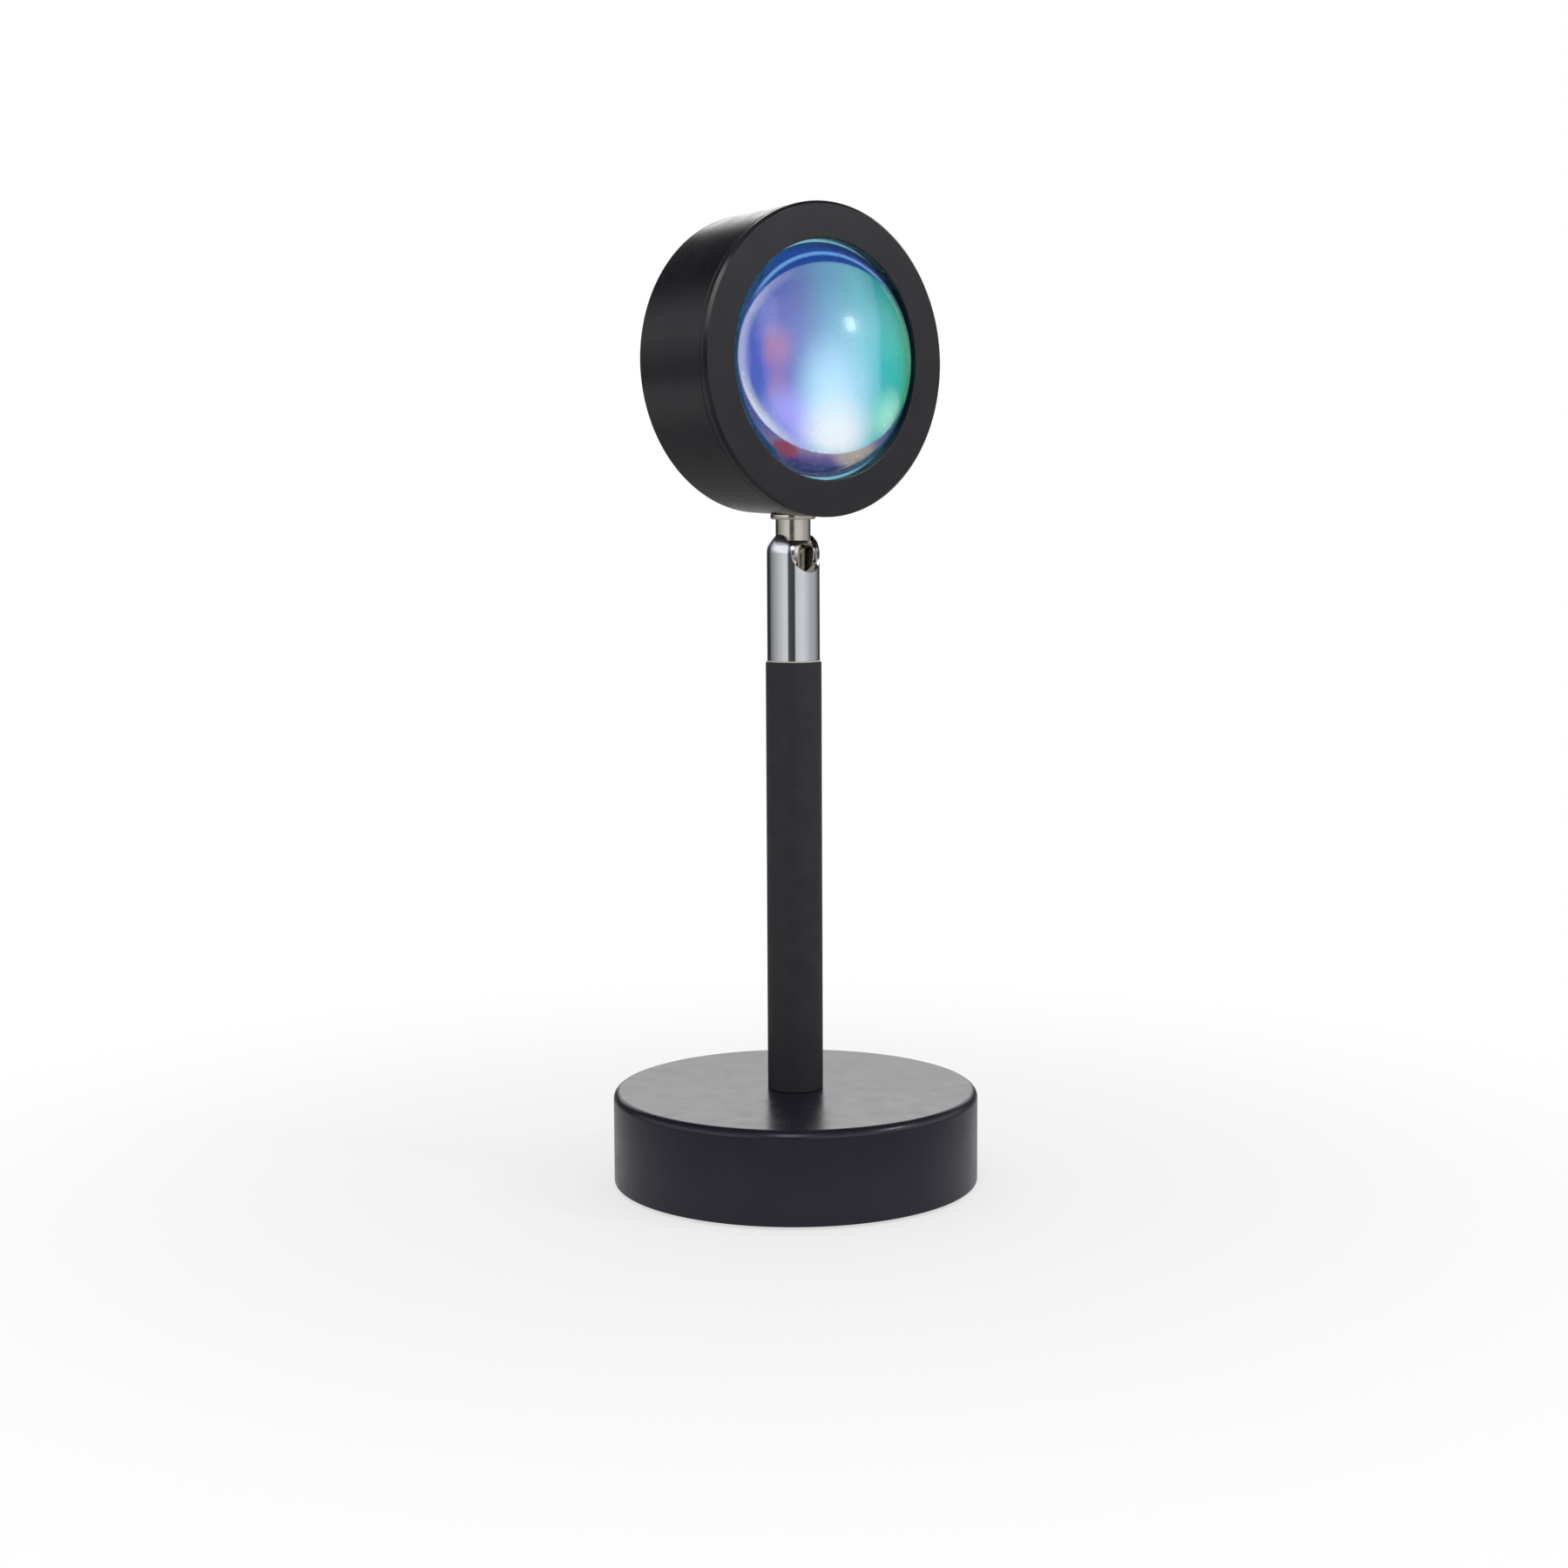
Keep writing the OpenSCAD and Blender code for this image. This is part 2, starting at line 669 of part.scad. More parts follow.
module ball_stud() {
    color("#cfc9c0") difference() {
        union() {
            translate([0, 0, ball_z]) sphere(ball_r);
            rod(neck_r, ball_z, neck_len);
            rod(neck_thread_d / 2, ball_z, thread_top - ball_z);
        }
        rod(neck_bore_d / 2, ball_z - ball_r - cut, thread_top - ball_z + ball_r + 2 * cut);
        translate([0, 0, ball_z + slot_lift]) rotate([90, 0, 0])
            cylinder(r = ball_slot_w / 2, h = ball_r + cut);
        translate([-ball_slot_w / 2, -ball_r - cut, ball_z - ball_r - cut])
            cube([ball_slot_w, ball_r + cut, ball_r + cut + slot_lift]);
    }
}

module neck_washer() {
    color("#d8d3cb") ring(washer_r, neck_thread_d / 2 + run_gap, neck_washer_z, neck_washer_t);
}

module neck_spring_washer() {
    color("#9fa1a4") ring(washer_r, neck_thread_d / 2 + run_gap, spring_washer_z, spring_washer_t);
}

module neck_nut() {
    color("#b9bbbd") hex_nut(neck_nut_af, neck_thread_d / 2, neck_nut_z, neck_nut_h);
}

// Head -----------------------------------------------------------------------------------------

module head_shell() {
    color("#26252b") difference() {
        union() {
            in_head() rotate_extrude() difference() {
                polygon([[0, back_z], [back_r - head_edge, back_z], [back_r, back_z + head_edge],
                    [drum_r(ring_z), ring_z], [0, ring_z]]);
                translate([0, ledge_top]) square([shell_bore_r, head_depth]);
                translate([0, back_z - cut]) square([ledge_r, head_depth]);
                translate([0, back_z - cut]) square([cover_r + fit_gap, ledge_z - back_z + cut]);
            }
            intersection() {
                rod(washer_r + saddle_margin, seat_face_z, neck_seat_t);
                in_head() rod(shell_bore_r + 1, -saddle_half_l, 2 * saddle_half_l);
            }
        }
        rod(washer_r + fit_gap, neck_washer_z - washer_recess, neck_washer_t + washer_recess);
        rod(neck_thread_d / 2 + run_gap, neck_washer_z, neck_seat_t + neck_washer_t + cut);
    }
}

module front_ring() {
    color("#26252b") in_head() rotate_extrude()
        polygon([[opening_r, ring_z], [opening_r, front_z - opening_edge],
            [opening_r + opening_edge, front_z], [front_r - head_edge, front_z],
            [front_r, front_z - head_edge], [drum_r(ring_z), ring_z],
            [skirt_out_r, ring_z], [skirt_out_r, gasket_z], [skirt_in_r, gasket_z], [skirt_in_r, ring_z]]);
}

module lens() {
    color("#9fd0e6", 0.5) in_head() rotate_extrude() union() {
        translate([0, lens_back]) square([lens_r, lens_rim_t]);
        intersection() {
            translate([0, lens_apex - lens_dome_r]) circle(lens_dome_r);
            translate([0, lens_back + lens_rim_t]) square([lens_r, lens_dome_r]);
        }
    }
}

module lens_gasket() {
    color("#bfe9f2", 0.6) in_head() ring(lens_r, gasket_bore_r, gasket_z, gasket_t);
}

module colour_filter() {
    color("#3f6fd8", 0.7) in_head() rod(filter_r, filter_z, filter_t);
}

module lens_holder() {
    color("#e6e6e4") in_head() difference() {
        rotate_extrude() polygon([
            [holder_throat_r, cone_z], [filter_r - filter_lip, flange_z - holder_wall],
            [filter_r - filter_lip, filter_z], [filter_r + fit_gap, filter_z],
            [filter_r + fit_gap, gasket_z], [flange_r, gasket_z], [flange_r, flange_z],
            [filter_r + holder_wall, flange_z],
            [filter_r + holder_wall - filter_lip, flange_z - holder_wall],
            [holder_throat_r + holder_wall, cone_z], [holder_throat_r + holder_wall, sink_top],
            [holder_throat_r, sink_top]]);
        translate([-head_lead_r - lead_gap, -filter_r, sink_top - cut])
            cube([head_lead_d + 2 * lead_gap, filter_r - holder_throat_r + lead_gap,
                cone_z - sink_top + cut + lead_notch_h]);
    }
}

module led_board() {
    color("#e9e9e4") in_head() difference() {
        rod(board_r, sink_top, board_t);
        for (side = [-1, 1]) translate([side * led_screw_r, 0, 0])
            rod(m2[0] + screw_gap, sink_top - cut, board_t + 2 * cut);
    }
}

module led_chip() {
    color("#e6c53c") in_head() {
        rod(led_d / 2, board_top, led_t);
        ring(led_d / 2 + led_frame, led_d / 2, board_top, led_t * 0.6);
    }
}

module led_screws() {
    color("#b9bbbd") in_head() for (side = [-1, 1])
        translate([side * led_screw_r, 0, board_top]) pan_screw(m2, board_t + sink_t);
}

module heat_sink() {
    fin_count = floor(fin_field_r / fin_pitch);
    color("#b9bcc0") in_head() difference() {
        union() {
            rod(sink_r, sink_z, sink_t);
            ring(sink_r, sink_rim_r, ledge_top, sink_rim_h + weld);
            intersection() {
                rod(fin_field_r, sink_z - fin_h, fin_h + weld);
                for (i = [-fin_count : fin_count])
                    translate([i * fin_pitch - fin_t / 2, -sink_r, sink_z - fin_h])
                        cube([fin_t, 2 * sink_r, fin_h + weld]);
            }
            around(cover_screw_count, cover_screw_ring_r)
                rod(cover_boss_r, ledge_z, sink_z - ledge_z + weld);
        }
        around(cover_screw_count, cover_screw_ring_r)
            rod(m3[0], ledge_z - cut, sink_z - ledge_z + 2 * cut);
        for (side = [-1, 1]) translate([side * led_screw_r, 0, 0])
            rod(m2[0], sink_z - fin_h - cut, fin_h + sink_t + 2 * cut);
    }
}

module rear_cover() {
    vent_mid_r = cover_screw_ring_r - cover_boss_r - vent_boss_gap - vent_len / 2;
    color("#26252b") in_head() difference() {
        rod(cover_r, cover_z, cover_t);
        around(vent_count, vent_mid_r) {
            translate([-vent_w / 2, -vent_len / 2 + vent_w / 2, cover_z - cut])
                cube([vent_w, vent_len - vent_w, cover_t + 2 * cut]);
            for (end = [-1, 1]) translate([0, end * (vent_len - vent_w) / 2, 0])
                rod(vent_w / 2, cover_z - cut, cover_t + 2 * cut);
        }
        around(cover_screw_count, cover_screw_ring_r)
            translate([0, 0, cover_z]) flat_screw_hole(m3, cover_t + cut);
    }
}

module rear_cover_screws() {
    color("#8d8f93") in_head() around(cover_screw_count, cover_screw_ring_r)
        translate([0, 0, cover_z]) flat_screw(m3, sink_z - cover_z);
}

// Lead from inside the ball, up the neck, back by an S-bend past the light cone, to the LED board
module head_lead() {
    low_z = ball_z - ball_r + ball_lead_inset;
    bend_z = thread_top + lead_rise;
    back_y = -(board_top + head_lead_r);
    bend_r = back_y / 2;
    end_z = head_z - board_r + lead_on_board;
    color("#b0302a") {
        rod(head_lead_r, low_z, bend_z - low_z);
        translate([0, bend_r, bend_z]) rotate([90, 0, -90]) bend(head_lead_r, bend_r);
        translate([0, bend_r, bend_z + back_y]) rotate([-90, 0, 90]) bend(head_lead_r, bend_r);
        translate([0, back_y, 0]) rod(head_lead_r, bend_z + back_y, end_z - bend_z - back_y);
    }
}

base_shell();
base_weight();
bottom_plate();
foot_pad();
bottom_screws();
cord_gland();
supply_lead();
driver_board();
driver_screws();
stem_tube();
stem_plug();
stem_nipple();
stem_washer();
stem_nut();
swivel_spigot();
pan_stop_pin();
swivel_washer();
stem_lead();
swivel_barrel();
swivel_clip();
ball_seat();
ball_spring();
ball_stud();
neck_washer();
neck_spring_washer();
neck_nut();
head_shell();
front_ring();
lens();
lens_gasket();
colour_filter();
lens_holder();
led_board();
led_chip();
led_screws();
heat_sink();
rear_cover();
rear_cover_screws();
head_lead();
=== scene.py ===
"""Sunset projection lamp: the finish of every surface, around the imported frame.

Metres. +Z is up, the origin is the middle of the base's underside, and the lens looks along -Y.
"""
import json
import math

import bmesh
import bpy
from mathutils import Matrix, Vector


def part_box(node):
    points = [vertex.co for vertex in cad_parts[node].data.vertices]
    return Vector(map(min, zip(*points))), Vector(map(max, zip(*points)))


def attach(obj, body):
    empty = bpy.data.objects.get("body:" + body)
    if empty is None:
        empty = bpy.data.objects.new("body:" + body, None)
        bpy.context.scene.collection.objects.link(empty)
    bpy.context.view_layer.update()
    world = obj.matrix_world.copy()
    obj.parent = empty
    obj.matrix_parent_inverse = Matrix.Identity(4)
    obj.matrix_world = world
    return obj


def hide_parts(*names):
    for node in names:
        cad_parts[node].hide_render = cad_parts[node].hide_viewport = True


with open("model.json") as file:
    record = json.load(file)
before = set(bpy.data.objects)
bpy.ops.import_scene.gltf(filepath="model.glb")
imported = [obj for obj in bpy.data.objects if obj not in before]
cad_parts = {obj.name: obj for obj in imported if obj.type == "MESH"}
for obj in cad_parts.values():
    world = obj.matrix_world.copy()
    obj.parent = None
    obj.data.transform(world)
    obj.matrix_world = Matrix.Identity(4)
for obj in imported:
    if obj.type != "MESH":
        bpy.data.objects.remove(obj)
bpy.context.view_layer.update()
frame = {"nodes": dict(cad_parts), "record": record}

MM = 0.001
HEAD_Z = (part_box("front_ring")[0].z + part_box("front_ring")[1].z) / 2
FILM_UNIT = 23 * MM             # the length that the film's pattern is laid out in
FILM_HALF_W = 1.15              # half of the pattern's width, in film units
FILM_HALF_H = 1.2


# Camera ---------------------------------------------------------------------------------------

IMAGE = 1800                    # side of the square picture, in pixels
SENSOR = 36.0                   # Blender's sensor width, in mm
CAMERA_DISTANCE = 0.6945        # from the stem's axis
CAMERA_HEIGHT = 0.1886
CAMERA_AZIMUTH = math.radians(40.14)    # from -Y round towards -X
CAMERA_PITCH = math.radians(5.54)       # down
CAMERA_ROLL = math.radians(-0.26)
FOCAL_PX = 2898.0
AIM_PX = (911.5, 860.7)         # where the view axis meets the picture


def make_camera():
    data = bpy.data.cameras.new("camera")
    camera = bpy.data.objects.new("camera", data)
    bpy.context.scene.collection.objects.link(camera)
    place = Vector((-math.sin(CAMERA_AZIMUTH), -math.cos(CAMERA_AZIMUTH), 0)) * CAMERA_DISTANCE
    place.z = CAMERA_HEIGHT
    turn = Matrix.Rotation(-CAMERA_AZIMUTH, 4, "Z")
    tip = Matrix.Rotation(math.pi / 2 - CAMERA_PITCH, 4, "X")
    roll = Matrix.Rotation(CAMERA_ROLL, 4, "Z")
    camera.matrix_world = Matrix.Translation(place) @ turn @ tip @ roll
    data.sensor_width = SENSOR
    data.lens = SENSOR * FOCAL_PX / IMAGE
    data.shift_x = 0.5 - AIM_PX[0] / IMAGE
    data.shift_y = AIM_PX[1] / IMAGE - 0.5
    data.clip_start = 0.01
    bpy.context.scene.camera = camera


# Node graphs ----------------------------------------------------------------------------------

MIX_FIRST, MIX_SECOND, MIX_RESULT = 6, 7, 2     # the mix node's sockets for colours


class Graph:
    """Adds nodes to a material or world; an input may be given a value or another node's output."""

    def __init__(self, owner):
        owner.use_nodes = True
        self.tree = owner.node_tree
        self.tree.nodes.clear()

    def add(self, kind, inputs=None, **settings):
        node = self.tree.nodes.new(kind)
        for name, value in settings.items():
            setattr(node, name, value)
        for name, value in (inputs or {}).items():
            self.put(node.inputs[name], value)
        return node

    def put(self, socket, value):
        if isinstance(value, bpy.types.NodeSocket):
            self.tree.links.new(value, socket)
        else:
            socket.default_value = value

    def math(self, operation, first, second=0.0):
        return self.add("ShaderNodeMath", {0: first, 1: second}, operation=operation).outputs[0]

    def vector(self, operation, first, second):
        return self.add("ShaderNodeVectorMath", {0: first, 1: second}, operation=operation).outputs[0]

    def length(self, vector):
        return self.add("ShaderNodeVectorMath", {0: vector}, operation="LENGTH").outputs["Value"]

    def axes(self, vector):
        """The vector's X, Y and Z."""
        return self.add("ShaderNodeSeparateXYZ", {0: vector}).outputs

    def ramp(self, factor, stops, smooth=False):
        """stops are (place, colour or grey level)."""
        node = self.add("ShaderNodeValToRGB", {"Fac": factor})
        band = node.color_ramp
        band.interpolation = "EASE" if smooth else "LINEAR"
        band.elements[0].position = stops[0][0]
        band.elements[1].position = stops[-1][0]
        for place, _ in stops[1:-1]:
            band.elements.new(place)
        for element, (_, colour) in zip(band.elements, stops):
            element.color = (*colour, 1) if isinstance(colour, tuple) else (colour, colour, colour, 1)
        return node.outputs["Color"]

    def mix(self, factor, first, second):
        node = self.add("ShaderNodeMix", data_type="RGBA")
        self.put(node.inputs["Factor"], factor)
        for index, value in ((MIX_FIRST, first), (MIX_SECOND, second)):
            self.put(node.inputs[index], (*value, 1) if isinstance(value, tuple) else value)
        return node.outputs[MIX_RESULT]

    def place(self, scale=(1, 1, 1), shift=(0, 0, 0)):
        """The point on the piece in its rest place, in metres, scaled and then shifted."""
        here = self.add("ShaderNodeTexCoord").outputs["Object"]
        return self.add("ShaderNodeMapping", {"Vector": here, "Scale": scale,
                                              "Location": shift}).outputs["Vector"]

    def noise(self, size, detail=2.0):
        """Noise whose features are about `size` metres across."""
        return self.add("ShaderNodeTexNoise", {"Vector": self.place(), "Scale": 1 / size,
                                               "Detail": detail, "Roughness": 0.5}).outputs["Fac"]

    def drift(self, first, second, size, detail=2.0):
        """A colour or level that drifts between two. The noise lies mostly between 0.3 and 0.7."""
        return self.ramp(self.noise(size, detail), [(0.3, first), (0.7, second)])

    def bump(self, height, depth):
        """A bump of `depth` metres."""
        return self.add("ShaderNodeBump", {"Height": height, "Distance": depth,
                                           "Strength": 1.0}).outputs["Normal"]


def finish(slot, **inputs):
    """A Principled material: inputs are its sockets, spelt with _ for a blank. A name stands for
    what that input has."""
    material = bpy.data.materials.new(slot)
    graph = Graph(material)
    shader = graph.add("ShaderNodeBsdfPrincipled")
    graph.add("ShaderNodeOutputMaterial", {"Surface": shader.outputs["BSDF"]})
    for name, value in inputs.items():
        if isinstance(value, str):
            value = shader.inputs[value].links[0].from_socket
        value = value(graph) if callable(value) else value
        if isinstance(value, tuple):
            value = (*value, 1)
        graph.put(shader.inputs[name.replace("_", " ")], value)
    return material


# Materials ------------------------------------------------------------------------------------

def tinted(dark, light, size):
    """A colour that drifts between two tones."""
    return lambda g: g.drift(dark, light, size, 3.0)


def patchy(low, high, size):
    """A value that drifts between two levels."""
    return lambda g: g.drift(low, high, size, 4.0)


def grain(size, depth, detail=2.0):
    """A fine uneven surface."""
    return lambda g: g.bump(g.noise(size, detail), depth)


def turned(pitch, depth, axis):
    """Fine lathe marks across an axis."""
    def normal(g):
        along = g.axes(g.place())[axis]
        wave = g.math("SINE", g.math("MULTIPLY", along, 2 * math.pi / pitch))
        return g.bump(g.math("ADD", wave, g.noise(2 * pitch)), depth)
    return normal


def make_materials():
    metal = dict(Metallic=1.0)
    looks = {
        "black_paint": dict(
            Base_Color=paint_colour, Roughness=patchy(0.22, 0.30, 6 * MM),
            Normal=grain(0.45 * MM, 0.004 * MM), IOR=1.48),
        "black_sleeve": dict(
            Base_Color=tinted((0.020, 0.019, 0.024), (0.026, 0.025, 0.031), 5 * MM),
            Roughness=patchy(0.44, 0.54, 4 * MM), Normal=grain(0.25 * MM, 0.008 * MM), IOR=1.42),
        "chrome": dict(
            **metal, Base_Color=tinted((0.75, 0.78, 0.83), (0.81, 0.84, 0.89), 8 * MM),
            Roughness=patchy(0.03, 0.08, 3 * MM)),
        "nickel": dict(
            **metal, Base_Color=tinted((0.68, 0.64, 0.58), (0.74, 0.70, 0.64), 6 * MM),
            Roughness=patchy(0.12, 0.20, 2 * MM)),
        "zinc_steel": dict(
            **metal, Base_Color=tinted((0.48, 0.50, 0.53), (0.62, 0.63, 0.62), 2 * MM),
            Roughness=patchy(0.25, 0.42, 1.5 * MM), Normal=grain(0.3 * MM, 0.01 * MM)),
        "black_steel": dict(
            Metallic=0.6,
            Base_Color=tinted((0.020, 0.020, 0.022), (0.045, 0.043, 0.042), 5 * MM),
            Roughness=patchy(0.38, 0.55, 3 * MM), Normal=grain(0.3 * MM, 0.01 * MM)),
        "brass": dict(
            **metal, Base_Color=tinted((0.62, 0.46, 0.20), (0.74, 0.57, 0.28), 3 * MM),
            Roughness=patchy(0.2, 0.35, 2 * MM), Normal=turned(0.75 * MM, 0.08 * MM, 2)),
        "cast_iron": dict(
            Metallic=0.7,
            Base_Color=tinted((0.07, 0.07, 0.075), (0.16, 0.155, 0.15), 3 * MM),
            Roughness=patchy(0.55, 0.8, 2 * MM), Normal=grain(0.9 * MM, 0.12 * MM, 5)),
        "rubber": dict(
            Base_Color=tinted((0.010, 0.010, 0.011), (0.018, 0.018, 0.018), 4 * MM),
            Roughness=patchy(0.65, 0.85, 3 * MM), Normal=grain(0.35 * MM, 0.02 * MM, 4)),
        # The gasket's emission is a painted glow
        "clear_silicone": dict(
            Base_Color=gasket_colour_and_painted_glow, Roughness=patchy(0.10, 0.16, 3 * MM), IOR=1.42,
            Emission_Color="Base Color", Emission_Strength=0.5),
        "nylon": dict(
            Base_Color=tinted((0.70, 0.67, 0.58), (0.80, 0.77, 0.69), 4 * MM),
            Roughness=patchy(0.35, 0.5, 2 * MM), Normal=grain(0.5 * MM, 0.01 * MM)),
        "lens_glass": dict(
            Base_Color=(0.97, 0.99, 1.0), Roughness=0.0, IOR=1.5,
            Transmission_Weight=1.0, Specular_Tint=(0.06, 0.07, 0.10), Coat_Weight=0.9,
            Coat_Roughness=0.27),
        # The film's emission is a painted glow
        "filter_glass": dict(
            Base_Color=film_colour_and_painted_light, Metallic=0.35, Roughness=patchy(0.22, 0.30, 4 * MM),
            Emission_Color="Base Color", Emission_Strength=0.45),
        # The holder's emission is a painted glow
        "holder_plastic": dict(
            Base_Color=holder_colour_and_painted_reflection, Roughness=patchy(0.18, 0.28, 3 * MM), Metallic=0.3,
            Emission_Color="Base Color", Emission_Strength=0.35),
        "board_white": dict(
            Base_Color=tinted((0.70, 0.70, 0.66), (0.80, 0.80, 0.77), 3 * MM),
            Roughness=patchy(0.25, 0.4, 2 * MM), Normal=grain(0.6 * MM, 0.01 * MM)),
        "board_green": dict(
            Base_Color=tinted((0.012, 0.10, 0.035), (0.025, 0.17, 0.06), 3 * MM),
            Roughness=patchy(0.22, 0.36, 2 * MM), Normal=grain(0.6 * MM, 0.015 * MM)),
        "phosphor": dict(
            Base_Color=tinted((0.75, 0.52, 0.05), (0.88, 0.66, 0.12), 0.8 * MM),
            Roughness=patchy(0.3, 0.5, 0.8 * MM), Normal=grain(0.4 * MM, 0.02 * MM)),
        "aluminium": dict(
            **metal, Base_Color=tinted((0.55, 0.56, 0.58), (0.66, 0.67, 0.68), 4 * MM),
            Roughness=patchy(0.28, 0.42, 3 * MM), Normal=turned(0.3 * MM, 0.01 * MM, 0)),
        "lead_sleeve": dict(
            Base_Color=tinted((0.013, 0.013, 0.014), (0.021, 0.021, 0.022), 3 * MM),
            Roughness=patchy(0.4, 0.55, 2 * MM), Normal=grain(0.4 * MM, 0.01 * MM)),
    }
    return {slot: finish(slot, **inputs) for slot, inputs in looks.items()}


def paint_colour(g):
    """Black, with a trace of violet on the base."""
    black = g.drift((0.0080, 0.0072, 0.0110), (0.0110, 0.0102, 0.0150), 9 * MM, 3)
    violet = g.drift((0.0090, 0.0070, 0.0190), (0.0120, 0.0100, 0.0240), 9 * MM, 3)
    # In units of 100 mm, so the violet fades out from 24 to 30 mm up
    height = g.axes(g.place(scale=(1, 1, 10)))[2]
    return g.mix(g.ramp(height, [(0.24, 1.0), (0.30, 0.0)]), black, violet)


def lens_point(g):
    """(right, up) from the lens's middle in film units, and the same as a vector."""
    place = g.place(scale=[1 / FILM_UNIT] * 3, shift=(0, 0, -HEAD_Z / FILM_UNIT))
    right, _, up = g.axes(place)
    return right, up, g.add("ShaderNodeCombineXYZ", {0: right, 2: up}).outputs[0]


def distance(g, flat, right=0, up=0, wide=1.0, high=1.0):
    """How far a point is from (right, up), where an oval of half axes `wide` and `high` is at 1."""
    away = g.vector("SUBTRACT", flat, (right, 0, up))
    return g.length(g.vector("MULTIPLY", away, (1 / wide, 1, 1 / high)))


def half_distance(g, flat):
    """Half the distance from the lens's middle, so that it stays within a ramp."""
    return distance(g, flat, wide=2, high=2)


def fraction(g, value, reach):
    """0 to 1 while the value goes from -reach to reach."""
    return g.math("MULTIPLY", g.math("ADD", value, reach), 1 / (2 * reach))


def spot(g, flat, right, up, wide, high, soft=0.6):
    """1 inside an oval spot on the lens, falling to 0 at its edge."""
    return g.ramp(distance(g, flat, right, up, wide, high), [(1 - soft, 1.0), (1.0, 0.0)], smooth=True)


def film_colour_and_painted_light(g):
    """Dichroic film: violet at -X, pale blue in the middle, green at +X, with pale and pink spots. A
    near-white spot low in the middle is a painted glow, and a thin bright line above the oval is a
    painted highlight.
    """
    right, up, flat = lens_point(g)
    wave = g.math("MULTIPLY", g.math("SUBTRACT", g.noise(14 * MM, 1.0), 0.5), 0.16)
    across = fraction(g, g.math("ADD", right, wave), FILM_HALF_W)
    film = g.ramp(across, [
        (0.03, (0.48, 0.48, 0.90)), (0.06, (0.20, 0.24, 0.75)), (0.10, (0.08, 0.11, 0.60)),
        (0.27, (0.13, 0.15, 0.52)), (0.38, (0.15, 0.22, 0.52)), (0.52, (0.17, 0.40, 0.62)),
        (0.69, (0.17, 0.54, 0.64)), (0.755, (0.10, 0.50, 0.56)), (0.78, (0.0, 0.42, 0.43)),
        (0.86, (0.0, 0.46, 0.38)), (0.93, (0.05, 0.48, 0.26)), (0.985, (0.22, 0.75, 0.50))])
    film = g.mix(spot(g, flat, -0.60, 0.10, 0.30, 0.34, 0.9), film, (0.36, 0.19, 0.42))
    film = g.mix(spot(g, flat, -0.58, -0.32, 0.22, 0.36, 0.9), film, (0.28, 0.18, 0.44))
    film = g.mix(spot(g, flat, -0.45, -0.75, 0.6, 0.6), film, (0.34, 0.32, 0.85))
    film = g.mix(spot(g, flat, 0.08, -0.35, 0.56, 0.75, 0.9), film, (0.45, 0.72, 0.92))
    film = g.mix(spot(g, flat, 0.74, -0.52, 0.30, 0.36, 0.9), film, (0.25, 0.72, 0.58))
    # A near-white spot low in the middle: a painted glow of light through the lens
    film = g.mix(spot(g, flat, 0.15, -0.74, 0.58, 0.56, 0.9), film, (0.78, 0.84, 0.88))
    # The coated oval has a pale rim at -X
    oval = distance(g, flat, 0.02, 0.02, FILM_HALF_W, 0.96)
    height = fraction(g, up, FILM_HALF_H)
    edge = g.ramp(oval, [(0.86, 0.0), (0.96, 1.0)])
    left = g.ramp(across, [(0.12, 1.0), (0.40, 0.0)])
    pale = g.ramp(height, [(0.22, (0.98, 0.98, 1.0)), (0.48, (0.52, 0.54, 0.88))])
    film = g.mix(g.math("MULTIPLY", edge, left), film, pale)
    # Beyond the oval: violet, pale and amber below, blue above with a painted highlight line in it
    border = g.ramp(height, [
        (0.04, (0.015, 0.025, 0.17)), (0.08, (0.13, 0.08, 0.30)), (0.11, (0.26, 0.19, 0.34)),
        (0.2, (0.12, 0.14, 0.42)), (0.5, (0.03, 0.05, 0.24)), (0.8, (0.01, 0.07, 0.36)),
        (0.95, (0.005, 0.07, 0.42))])
    border = g.mix(spot(g, flat, -0.48, -0.94, 0.26, 0.16), border, (0.30, 0.05, 0.12))
    border = g.mix(spot(g, flat, 0.46, -0.94, 0.40, 0.22), border, (0.50, 0.42, 0.36))
    # The bright line is a painted highlight, a thin arc of light above the oval
    line = g.ramp(half_distance(g, flat), [(0.525, 0.0), (0.54, 1.0), (0.55, 1.0), (0.56, 0.0)])
    upper = g.ramp(height, [(0.75, 0.0), (0.85, 1.0)])
    border = g.mix(g.math("MULTIPLY", line, upper), border, (0.22, 0.50, 1.0))
    return g.mix(g.ramp(oval, [(0.98, 0.0), (1.0, 1.0)]), film, border)


def gasket_colour_and_painted_glow(g):
    """Clear rubber with a painted glow above and below the lens, and deep blue at its sides."""
    _, up, _ = lens_point(g)
    # The bright clear tone above and below is a painted glow
    clear = g.drift((0.25, 0.72, 0.85), (0.40, 0.85, 0.95), 3 * MM)
    side = g.drift((0.01, 0.07, 0.20), (0.02, 0.10, 0.26), 3 * MM)
    half_height = g.math("MULTIPLY", g.math("ABSOLUTE", up), 0.5)
    return g.mix(g.ramp(half_height, [(0.45, 0.0), (0.6, 1.0)]), side, clear)


